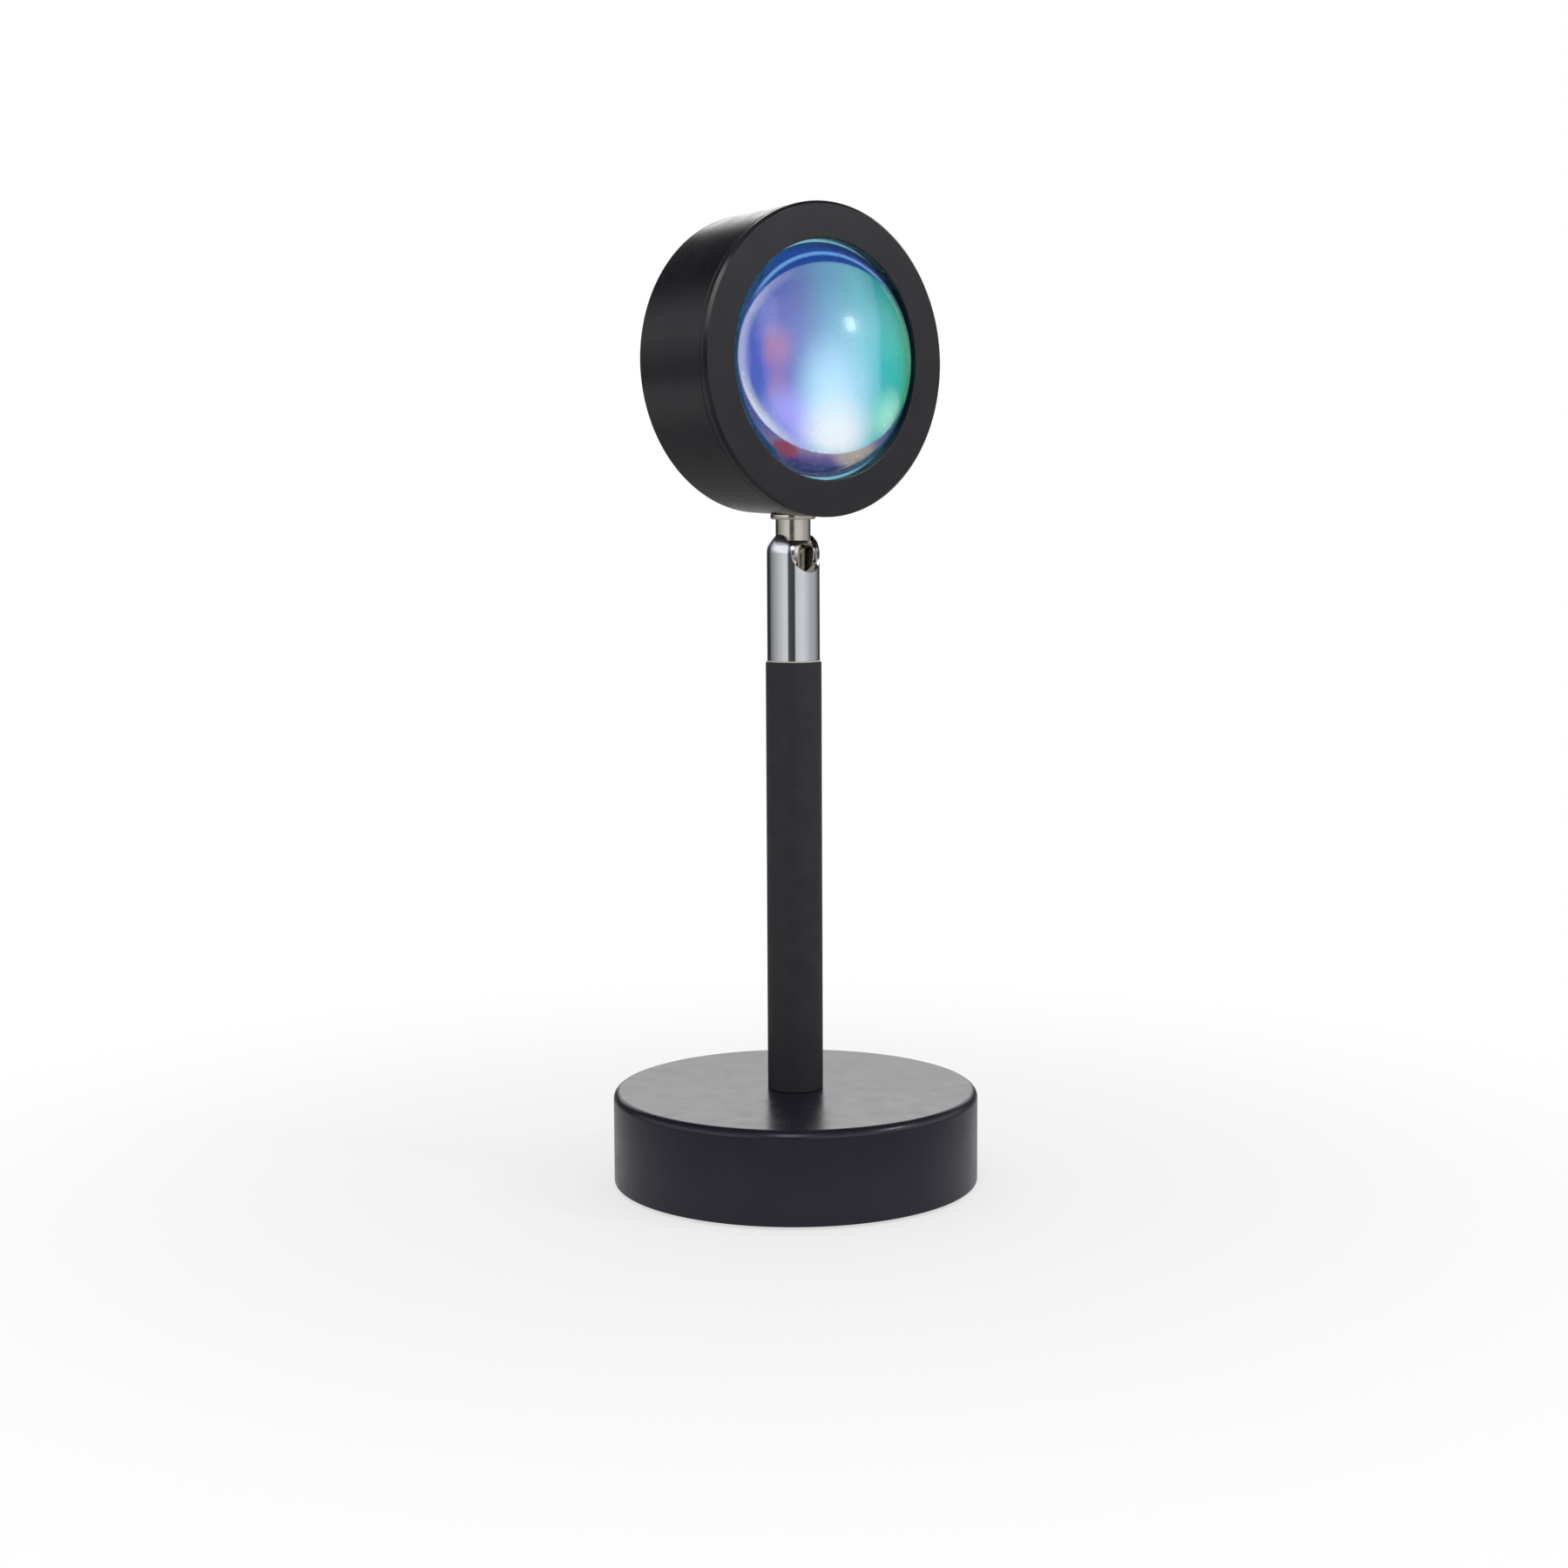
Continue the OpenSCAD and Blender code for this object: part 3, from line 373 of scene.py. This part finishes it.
def holder_colour_and_painted_reflection(g):
    """The holder's flange is painted with the film's colours by the way round the lens, a painted
    reflection of the film; its cone is silvery.
    """
    right, up, flat = lens_point(g)
    turn = g.math("ADD", g.math("DIVIDE", g.math("ARCTAN2", up, right), 2 * math.pi), 0.5)
    # Painted reflection of the film's colours round the flange
    painted_film_reflection = g.ramp(turn, [
        (0.0, (0.005, 0.012, 0.05)), (0.10, (0.01, 0.02, 0.07)), (0.18, (0.01, 0.015, 0.10)),
        (0.24, (0.03, 0.03, 0.14)), (0.30, (0.05, 0.08, 0.22)), (0.34, (0.05, 0.20, 0.30)),
        (0.42, (0.0, 0.30, 0.32)), (0.52, (0.0, 0.16, 0.18)), (0.62, (0.02, 0.07, 0.20)),
        (0.70, (0.01, 0.06, 0.26)), (0.78, (0.01, 0.07, 0.28)), (0.88, (0.005, 0.05, 0.22)),
        (1.0, (0.005, 0.012, 0.05))])
    silver = g.drift((0.62, 0.64, 0.68), (0.72, 0.74, 0.78), 5 * MM)
    return g.mix(g.ramp(half_distance(g, flat), [(0.560, 0.0), (0.565, 1.0)]), silver, painted_film_reflection)


# Studio ---------------------------------------------------------------------------------------

# How bright the studio looks in a mirror: round the lamp, by the degrees that a direction lies to
# the right of the way from the lamp to the camera, and upwards, by the height of the direction.
STUDIO = [(-180, 1.0), (-170, 1.0), (-164, 0.05), (-126, 0.03), (-114, 0.18), (-98, 0.31), (-60, 0.57),
          (-38, 0.72), (-26, 0.70), (-21, 0.08), (5, 0.05), (11, 0.64), (40, 0.74), (62, 0.60),
          (80, 0.45), (105, 0.40), (130, 0.16), (142, 0.05), (164, 0.05), (170, 1.0)]
CEILING = [(-90, 0.32), (-10, 0.36), (0, 0.40), (8, 0.72), (13, 1.0), (24, 1.0), (33, 0.40), (50, 0.20),
           (90, 0.12)]
CEILING_GAIN = 2.5
SKY = (0.97, 0.985, 1.0)        # the light that comes from all round
SKY_STRENGTH = 0.45
FLOOR_R = 1.6
FLOOR_SIDES = 96


def make_studio():
    """The world is white to the camera and through the glass, STUDIO in mirrors, and else SKY."""
    world = bpy.data.worlds.new("studio")
    bpy.context.scene.world = world
    g = Graph(world)
    x, y, z = g.axes(g.add("ShaderNodeTexCoord").outputs["Generated"])
    heading = g.math("ARCTAN2", y, x)
    # Turned so that 0 is towards the camera, and wrapped to 0..1 with 0.5 there
    camera_heading = math.atan2(-math.cos(CAMERA_AZIMUTH), -math.sin(CAMERA_AZIMUTH))
    turn = g.math("ADD", g.math("MULTIPLY", g.math("SUBTRACT", heading, camera_heading),
                                1 / (2 * math.pi)), 1.5)
    around = g.ramp(g.math("FRACT", turn), [((a + 180) / 360, level) for a, level in STUDIO])
    rise = g.math("ADD", g.math("DIVIDE", g.math("ARCSINE", z), math.pi), 0.5)
    upwards = g.ramp(rise, [((a + 90) / 180, level) for a, level in CEILING])
    level = g.math("MULTIPLY", g.math("MULTIPLY", around, upwards), CEILING_GAIN)
    path = g.add("ShaderNodeLightPath")
    seen = g.math("MAXIMUM", path.outputs["Is Camera Ray"], path.outputs["Is Transmission Ray"])
    lit = g.add("ShaderNodeBackground", {"Color": (*SKY, 1), "Strength": SKY_STRENGTH})
    mirrored = g.add("ShaderNodeBackground", {"Color": g.math("MINIMUM", level, 1.0), "Strength": 1.0})
    white = g.add("ShaderNodeBackground", {"Color": (1, 1, 1, 1), "Strength": 1.0})
    glossy = g.add("ShaderNodeMixShader", {0: path.outputs["Is Glossy Ray"], 1: lit.outputs[0],
                                           2: mirrored.outputs[0]})
    whole = g.add("ShaderNodeMixShader", {0: seen, 1: glossy.outputs[0], 2: white.outputs[0]})
    g.add("ShaderNodeOutputWorld", {"Surface": whole.outputs[0]})


def make_floor():
    """A pale floor with a soft shadow, which fades to plain white by 0.32 m from the lamp. In a
    mirror it is dimmer, by its distance."""
    bpy.ops.mesh.primitive_circle_add(vertices=FLOOR_SIDES, radius=FLOOR_R, fill_type="NGON")
    floor = bpy.context.object
    floor.name = "floor"
    material = bpy.data.materials.new("floor")
    g = Graph(material)
    path = g.add("ShaderNodeLightPath")
    seen = g.math("MAXIMUM", path.outputs["Is Camera Ray"], path.outputs["Is Glossy Ray"])
    far = g.length(g.place())
    fade = g.ramp(far, [(0.07, 0.66), (0.32, 1.0)], smooth=True)
    shade = g.ramp(far, [(0.08, 0.5), (0.16, 0.78), (0.42, 0.78), (0.7, 0.5)])
    level = g.math("SUBTRACT", 1.0, g.math("MULTIPLY", path.outputs["Is Glossy Ray"], shade))
    diffuse = g.add("ShaderNodeBsdfDiffuse", {"Color": (0.9, 0.9, 0.9, 1)})
    white = g.add("ShaderNodeEmission", {"Color": (1, 1, 1, 1), "Strength": level})
    both = g.add("ShaderNodeMixShader", {0: g.math("MULTIPLY", seen, fade), 1: diffuse.outputs[0],
                                         2: white.outputs[0]})
    g.add("ShaderNodeOutputMaterial", {"Surface": both.outputs[0]})
    floor.data.materials.append(material)


def make_lamp(name, size, power, place, aim, unseen=()):
    """A soft rectangular lamp; `unseen` names the kinds of ray that pass it by."""
    data = bpy.data.lights.new(name, "AREA")
    data.shape = "RECTANGLE"
    data.size, data.size_y = size
    data.energy = power
    lamp = bpy.data.objects.new(name, data)
    bpy.context.scene.collection.objects.link(lamp)
    lamp.location = place
    lamp.rotation_euler = (Vector(aim) - Vector(place)).to_track_quat("-Z", "Y").to_euler()
    for ray in unseen:
        setattr(lamp, "visible_" + ray, False)


# Shapes ---------------------------------------------------------------------------------------

SIDES = 192                     # facets round a turned piece
ARC_STEPS = 6                   # facets in a rounded edge
SMOOTH_BELOW = math.radians(32)
BEVEL_ABOVE = math.radians(40)
ON_AXIS = 1e-6                  # a point nearer to the axis than this is on it

# The head's own frame: Z along its axis towards the lens, Y up
HEAD = Matrix.Translation((0, 0, HEAD_Z)) @ Matrix.Rotation(math.pi / 2, 4, "X")
STEM = Matrix.Identity(4)


def rounded(corners):
    """A closed outline from (r, z, radius of the corner) in metres."""
    outline = []
    for index, (r, z, radius) in enumerate(corners):
        corner = Vector((r, z))
        if not radius:
            outline.append(corner)
            continue
        back = (Vector(corners[index - 1][:2]) - corner).normalized()
        ahead = (Vector(corners[(index + 1) % len(corners)][:2]) - corner).normalized()
        half = back.angle(ahead) / 2
        middle = corner + (back + ahead).normalized() * (radius / math.sin(half))
        reach = radius / math.tan(half)
        start, end = corner + back * reach - middle, corner + ahead * reach - middle
        for step in range(ARC_STEPS + 1):
            share = step / ARC_STEPS
            outline.append(middle + (start * (1 - share) + end * share).normalized() * radius)
    return outline


def arc(middle_z, radius, first, last, steps):
    """Points (r, z) of a circle round (0, middle_z). The angles are degrees from the axis."""
    angles = [math.radians(first + (last - first) * step / steps) for step in range(steps + 1)]
    return [Vector((radius * math.sin(a), middle_z + radius * math.cos(a))) for a in angles]


def make_object(name, mesh, place):
    """An object from a bmesh, which it uses up."""
    bmesh.ops.recalc_face_normals(mesh, faces=mesh.faces)
    mesh.transform(place)
    data = bpy.data.meshes.new(name)
    mesh.to_mesh(data)
    mesh.free()
    piece = bpy.data.objects.new(name, data)
    bpy.context.scene.collection.objects.link(piece)
    return piece


def turned_solid(name, outline, place=STEM, closed=True):
    """A solid turned about the Z axis of `place` from an (r, z) outline."""
    mesh = bmesh.new()
    rings = []
    for r, z in outline:
        count = SIDES if r > ON_AXIS else 1
        angles = [2 * math.pi * index / SIDES for index in range(count)]
        rings.append([mesh.verts.new((r * math.cos(a), r * math.sin(a), z)) for a in angles])
    for first, second in zip(rings, rings[1:] + (rings[:1] if closed else [])):
        if len(first) + len(second) == 2:
            continue
        for k in range(SIDES):
            corners = [ring[index % len(ring)] for ring, index in
                       ((first, k), (first, k + 1), (second, k + 1), (second, k))]
            mesh.faces.new(list(dict.fromkeys(corners)))
    return make_object(name, mesh, place)


def disc_tool(name, r, low, high, place=STEM):
    outline = [Vector((0, low)), Vector((r, low)), Vector((r, high)), Vector((0, high))]
    return turned_solid(name, outline, place)


def box_tool(size, middle):
    bpy.ops.mesh.primitive_cube_add(size=1)
    box = bpy.context.object
    box.scale = size
    box.location = middle
    return box


def settle(piece):
    """Applies the piece's modifiers."""
    shaped = piece.evaluated_get(bpy.context.evaluated_depsgraph_get())
    data = bpy.data.meshes.new_from_object(shaped)
    piece.modifiers.clear()
    piece.data = data


def carve(piece, tools, edge=0.0):
    """Cuts the tools out of a piece and bevels the edges that this leaves."""
    for tool in tools:
        step = piece.modifiers.new("carve", "BOOLEAN")
        step.operation = "DIFFERENCE"
        step.solver = "EXACT"
        step.object = tool
    settle(piece)
    for tool in tools:
        bpy.data.objects.remove(tool)
    if edge:
        step = piece.modifiers.new("edge", "BEVEL")
        step.width = edge
        step.segments = 2
        step.limit_method = "ANGLE"
        step.angle_limit = BEVEL_ABOVE
        settle(piece)


def dress(piece, node, body):
    """Puts a finished piece in the place of its CAD node."""
    for face in piece.data.polygons:
        face.use_smooth = True
    piece.data.set_sharp_from_angle(angle=SMOOTH_BELOW)
    flats = piece.modifiers.new("flats", "WEIGHTED_NORMAL")     # keeps large faces looking flat
    flats.keep_sharp = True
    settle(piece)
    piece.data.materials.clear()
    piece.data.materials.append(materials[slots[node]])
    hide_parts(node)
    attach(piece, body)


# Pieces ---------------------------------------------------------------------------------------

FIT_GAP = 0.1 * MM
LENS_GAP = 3 * FIT_GAP
OVER = 1 * MM                   # how far a cutting tool runs past a face
CRISP = 0.1 * MM                # roundings of small edges
NEAT = 0.2 * MM
SOFT = 0.3 * MM
FULL = 0.4 * MM
BASE_WALL = 3 * MM
BASE_EDGE = 2.2 * MM
BASE_FOOT_EDGE = 0.5 * MM
BASE_INNER_EDGE = 1 * MM
PAD_GROOVES = (14 * MM, 26 * MM, 38 * MM)
GROOVE_HALF_W = 1 * MM
GROOVE_FLOOR_HALF_W = 0.6 * MM
GROOVE_DEPTH = 0.4 * MM
STEM_WALL = 1.2 * MM
STEM_FOOT_EDGE = 0.25 * MM
SOCKET_R = 6.05 * MM            # the barrel's bore, and the sphere that the ball sits in
MOUTH_R = 5.1 * MM              # half the width of the barrel's tilt slot
BARREL_STEPS = 16
SOCKET_STEPS = 12
NECK_BORE_R = 4.05 * MM
NECK_EDGE = 0.45 * MM
DRUM_BACK_R = 40.8 * MM
DRUM_BACK_EDGE = 0.6 * MM
DRUM_WALL_REACH = 4 * MM        # past the drum's wall
DRUM_BORE_R = 38.8 * MM
LEDGE_R = 35.5 * MM
LEDGE_T = 1.2 * MM
OPENING_R = 32 * MM
SEAM = 0.35 * MM                # chamfer on both sides of the seam behind the front ring
RING_EDGE = 0.8 * MM            # chamfer round the head's front
CHAMFER_EDGE = 0.15 * MM
LENS_DOME_R = 38 * MM
LENS_RIM_T = 1.2 * MM
LENS_EDGE = 0.2 * MM
LENS_STEPS = 48
GASKET_GAP = 3 * MM             # between the filter's edge and the gasket
GASKET_EDGE = 0.25 * MM
GLUE_GAP = 0.02 * MM            # keeps the gasket's face off the lens's back
HOLDER_WALL = 1.6 * MM
HOLDER_LIP = 1 * MM
HOLDER_GROOVE_R = 27.6 * MM
HOLDER_GROOVE = 0.4 * MM
HOLDER_THROAT_R = 14 * MM
HOLDER_FOOT_H = 2.6 * MM
HOLDER_FLANGE_T = 1.4 * MM
THROAT_EDGE = 0.5 * MM
SEAT_EDGE = 0.15 * MM
NOTCH_HALF_W = 1.7 * MM
NOTCH_H = 4.5 * MM
NOTCH_LEN = 10 * MM
NOTCH_DROP = 4 * MM             # its middle, below the throat
VENT_COUNT = 18
VENT_R = 21.2 * MM
VENT_LEN = 9 * MM
VENT_W = 2 * MM
VENT_SIDES = 24
SCREW_COUNT = 3
SCREW_RING_R = 31 * MM
SCREW_HEAD_R = 2.95 * MM
SCREW_R = 1.65 * MM
SCREW_CONE_H = 1.28 * MM        # depth of the countersink
GLAND_BORE_R = 1.9 * MM
GLAND_R = 3.5 * MM
GLAND_FLANGE_T = 1.3 * MM
GLAND_EDGE = 0.5 * MM


def round_size(node):
    """(radius, lowest z, highest z) of a piece that is round about the stem."""
    low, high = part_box(node)
    return high.x, low.z, high.z


def head_size(node):
    """(radius, back, front) of a piece that is round about the head's axis."""
    low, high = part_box(node)
    return high.x, -high.y, -low.y


def inlet_place():
    """The cord inlet's own frame, whose Z runs out of the base, to the back."""
    low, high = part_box("cord_gland")
    return Matrix.Translation((0, 0, (low.z + high.z) / 2)) @ Matrix.Rotation(-math.pi / 2, 4, "X")


def spoke(index, count, r, place=STEM):
    """The frame of one of `count` features that stand round the Z axis of `place`."""
    return place @ Matrix.Rotation(index * 2 * math.pi / count, 4, "Z") @ Matrix.Translation((0, -r, 0))


def make_base():
    r, low, high = round_size("base_shell")
    ceiling = high - BASE_WALL
    bore = round_size("stem_nipple")[0] + FIT_GAP
    shell = turned_solid("fine_base_shell", rounded([
        (r - BASE_WALL, low, SOFT), (r, low, BASE_FOOT_EDGE), (r, high, BASE_EDGE), (bore, high, 0),
        (bore, ceiling, 0), (r - BASE_WALL, ceiling, BASE_INNER_EDGE)]))
    gland_low, gland_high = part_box("cord_gland")
    gland_r, back, face = gland_high.x, gland_low.y, gland_high.y
    seat = face - GLAND_FLANGE_T
    inlet = inlet_place()
    carve(shell, [disc_tool("flange_seat", gland_r + FIT_GAP, seat, r + OVER, inlet),
                  disc_tool("gland_hole", GLAND_R + FIT_GAP, back, r, inlet)], edge=NEAT)
    dress(shell, "base_shell", "base")

    gland = turned_solid("fine_cord_gland", rounded([
        (GLAND_BORE_R, back, SOFT), (GLAND_R, back, FULL), (GLAND_R, seat, 0), (gland_r, seat, 0),
        (gland_r, face, GLAND_EDGE), (GLAND_BORE_R, face, GLAND_EDGE)]), inlet)
    dress(gland, "cord_gland", "base")

    pad_r, pad_low, pad_high = round_size("foot_pad")
    underside = [(0, pad_low, 0)]
    groove_z = pad_low + GROOVE_DEPTH
    for groove_r in PAD_GROOVES:
        underside += [(groove_r - GROOVE_HALF_W, pad_low, NEAT),
                      (groove_r - GROOVE_FLOOR_HALF_W, groove_z, CRISP),
                      (groove_r + GROOVE_FLOOR_HALF_W, groove_z, CRISP),
                      (groove_r + GROOVE_HALF_W, pad_low, NEAT)]
    pad = turned_solid("fine_foot_pad", rounded(
        underside + [(pad_r, pad_low, FULL), (pad_r, pad_high, CRISP), (0, pad_high, 0)]))
    dress(pad, "foot_pad", "base")


def make_stem():
    r, low, high = round_size("stem_tube")
    tube = turned_solid("fine_stem_tube", rounded([
        (r - STEM_WALL, low, 0), (r, low, STEM_FOOT_EDGE), (r, high, FULL),
        (r - STEM_WALL, high, NEAT)]))
    dress(tube, "stem_tube", "base")


def make_barrel():
    r, low, high = round_size("swivel_barrel")
    # The barrel's rounded end is a sphere round the ball, cut off by the slot
    ball_z = high - math.sqrt(r ** 2 - MOUTH_R ** 2)
    outer = arc(ball_z, r, math.degrees(math.asin(MOUTH_R / r)), 90, BARREL_STEPS)
    inner = arc(ball_z, SOCKET_R, 90, math.degrees(math.asin(MOUTH_R / SOCKET_R)), SOCKET_STEPS)
    barrel = turned_solid("fine_swivel_barrel",
                          outer + rounded([(r, low, 0)]) + [Vector((SOCKET_R, low))] + inner)
    reach = r + OVER
    slot_end = disc_tool("tilt_slot", MOUTH_R, 0, reach,
                         Matrix.Translation((0, 0, ball_z)) @ Matrix.Rotation(math.pi / 2, 4, "X"))
    slot = box_tool((2 * MOUTH_R, reach, reach), (0, -reach / 2, ball_z + reach / 2))
    carve(barrel, [slot_end, slot], edge=SOFT)
    dress(barrel, "swivel_barrel", "swivel")


def make_neck_washer():
    r, low, high = round_size("neck_washer")
    washer = turned_solid("fine_neck_washer", rounded([
        (NECK_BORE_R, low, 0), (r, low, NECK_EDGE), (r, high, NECK_EDGE), (NECK_BORE_R, high, 0)]))
    dress(washer, "neck_washer", "stud")


def make_drum():
    r, back, front = head_size("head_shell")
    cover_r, cover_back, cover_front = head_size("rear_cover")
    ledge_top = cover_front + LEDGE_T
    shell = turned_solid("fine_head_shell", rounded([
        (cover_r + FIT_GAP, back, SOFT), (DRUM_BACK_R, back, DRUM_BACK_EDGE), (r, front, SEAM),
        (DRUM_BORE_R, front, 0), (DRUM_BORE_R, ledge_top, 0), (LEDGE_R, ledge_top, 0),
        (LEDGE_R, cover_front, 0), (cover_r + FIT_GAP, cover_front, 0)]), HEAD)
    washer_r, washer_low, washer_high = round_size("neck_washer")
    carve(shell, [
        disc_tool("washer_seat", washer_r + FIT_GAP, washer_low, washer_high + FIT_GAP / 2),
        disc_tool("neck_hole", NECK_BORE_R, washer_low, washer_high + DRUM_WALL_REACH)], edge=CRISP)
    dress(shell, "head_shell", "head")

    cover = turned_solid("fine_rear_cover", rounded([
        (0, cover_back, 0), (cover_r, cover_back, SOFT), (cover_r, cover_front, CRISP),
        (0, cover_front, 0)]), HEAD)
    below, above = cover_back - OVER, cover_front + OVER
    screw_hole = [Vector(point) for point in (
        (0, below), (SCREW_HEAD_R, below), (SCREW_HEAD_R, cover_back),
        (SCREW_R, cover_back + SCREW_CONE_H), (SCREW_R, above), (0, above))]
    tools = [turned_solid("screw_hole", screw_hole, spoke(index, SCREW_COUNT, SCREW_RING_R, HEAD))
             for index in range(SCREW_COUNT)]
    carve(cover, [vent_tool(below, above)] + tools, edge=CHAMFER_EDGE)
    dress(cover, "rear_cover", "head")


def vent_tool(low, high):
    """The rear cover's vent slots, from low to high along the head's axis."""
    mesh = bmesh.new()
    straight = (VENT_LEN - VENT_W) / 2
    for index in range(VENT_COUNT):
        turn = spoke(index, VENT_COUNT, VENT_R)
        ends = []
        for z in (low, high):
            ring = []
            for step in range(VENT_SIDES):
                angle = 2 * math.pi * (step + 0.5) / VENT_SIDES
                side = straight if math.sin(angle) > 0 else -straight
                ring.append(mesh.verts.new(turn @ Vector((VENT_W / 2 * math.cos(angle),
                                                          VENT_W / 2 * math.sin(angle) + side, z))))
            ends.append(ring)
            mesh.faces.new(ring)
        first, second = ends
        for k in range(VENT_SIDES):
            after = (k + 1) % VENT_SIDES
            mesh.faces.new((first[k], first[after], second[after], second[k]))
    return make_object("vents", mesh, HEAD)


def make_front_ring():
    r, back, front = head_size("front_ring")
    shell_r, _, seam_z = head_size("head_shell")
    skirt_r = DRUM_BORE_R - FIT_GAP
    bore_r = head_size("lens")[0] + LENS_GAP
    ring = turned_solid("fine_front_ring", rounded([
        (OPENING_R, seam_z, 0), (OPENING_R, front, FULL), (r - RING_EDGE, front, CHAMFER_EDGE),
        (r, front - RING_EDGE, CHAMFER_EDGE), (shell_r, seam_z, SEAM), (skirt_r, seam_z, 0),
        (skirt_r, back, SOFT), (bore_r, back, SOFT), (bore_r, seam_z, 0)]), HEAD)
    dress(ring, "front_ring", "head")


def make_optics():
    lens_r, back, apex = head_size("lens")
    filter_r, filter_back, _ = head_size("colour_filter")
    rim = back + LENS_RIM_T
    rim_angle = math.degrees(math.asin(lens_r / LENS_DOME_R))
    dome = arc(apex - LENS_DOME_R, LENS_DOME_R, rim_angle, 0, LENS_STEPS)
    dome[-1] = Vector((0, apex))
    # The lens is open behind: the filter lies against its back there, and closes it
    edge = [Vector(point) for point in (
        (filter_r, back), (lens_r - LENS_EDGE, back), (lens_r, back + LENS_EDGE), (lens_r, rim))]
    lens = turned_solid("fine_lens", edge + dome[1:], HEAD, closed=False)
    dress(lens, "lens", "head")

    colour_filter = turned_solid("fine_colour_filter", rounded([
        (0, filter_back, 0), (filter_r, filter_back, NEAT), (filter_r, back, 0), (0, back, 0)]), HEAD)
    dress(colour_filter, "colour_filter", "head")

    gasket_back = head_size("lens_gasket")[1]
    gasket_bore_r = filter_r + GASKET_GAP
    gasket_face = back - GLUE_GAP
    gasket = turned_solid("fine_lens_gasket", rounded([
        (gasket_bore_r, gasket_back, GASKET_EDGE), (lens_r, gasket_back, CRISP),
        (lens_r, gasket_face, CRISP), (gasket_bore_r, gasket_face, GASKET_EDGE)]), HEAD)
    dress(gasket, "lens_gasket", "head")
    make_holder(filter_r, filter_back)


def make_holder(filter_r, filter_back):
    """A cone from the LED to the filter, with a grooved flange round the filter."""
    flange_r, foot, front = head_size("lens_holder")
    cone_back = foot + HOLDER_FOOT_H
    back = front - HOLDER_FLANGE_T
    cone_front = back - HOLDER_WALL
    throat_r = HOLDER_THROAT_R
    lip_r = filter_r - HOLDER_LIP
    seat_r = filter_r + FIT_GAP
    outer_r = filter_r + HOLDER_WALL
    holder = turned_solid("fine_lens_holder", rounded([
        (throat_r, foot, 0), (throat_r, cone_back, THROAT_EDGE), (lip_r, cone_front, NEAT),
        (lip_r, filter_back, CRISP), (seat_r, filter_back, 0), (seat_r, front, SEAT_EDGE),
        (HOLDER_GROOVE_R - HOLDER_GROOVE, front, CRISP),
        (HOLDER_GROOVE_R, front - HOLDER_GROOVE, CRISP),
        (HOLDER_GROOVE_R + HOLDER_GROOVE, front, CRISP),
        (flange_r, front, SOFT), (flange_r, back, SOFT),
        (outer_r, back, NEAT), (outer_r - HOLDER_LIP, cone_front, NEAT),
        (throat_r + HOLDER_WALL, cone_back, SOFT), (throat_r + HOLDER_WALL, foot, 0)]), HEAD)
    notch = box_tool((2 * NOTCH_HALF_W, NOTCH_H, NOTCH_LEN),
                     (0, -(foot + NOTCH_H / 2 - OVER), HEAD_Z - throat_r - NOTCH_DROP))
    carve(holder, [notch], edge=CRISP)
    dress(holder, "lens_holder", "head")


# The scene ------------------------------------------------------------------------------------

make_camera()
make_studio()
make_floor()
make_lamp("top_light", (1.8, 1.8), 6.0, (-0.1, 0.0, 1.8), (0, 0, 0.1), ["glossy"])
make_lamp("front_light", (0.25, 0.6), 1.9, (-0.58, -0.58, 0.80), (0, 0, 0.2), ["transmission"])
make_lamp("key_light", (0.11, 0.11), 0.8, (0.34, -0.562, 0.529), (0, 0, 0.2), ["transmission"])
make_lamp("back_light", (1.6, 0.5), 3.0, (0.8, 1.0, 0.62), (0, 0, 0.05))

materials = make_materials()
slots = {part["node"]: part["material_slot"] for part in frame["record"]["subparts"]}
for name, node in frame["nodes"].items():
    node.data.materials.clear()
    node.data.materials.append(materials[slots[name]])

make_base()
make_stem()
make_barrel()
make_neck_washer()
make_drum()
make_front_ring()
make_optics()

bpy.context.scene.view_settings.view_transform = "Standard"
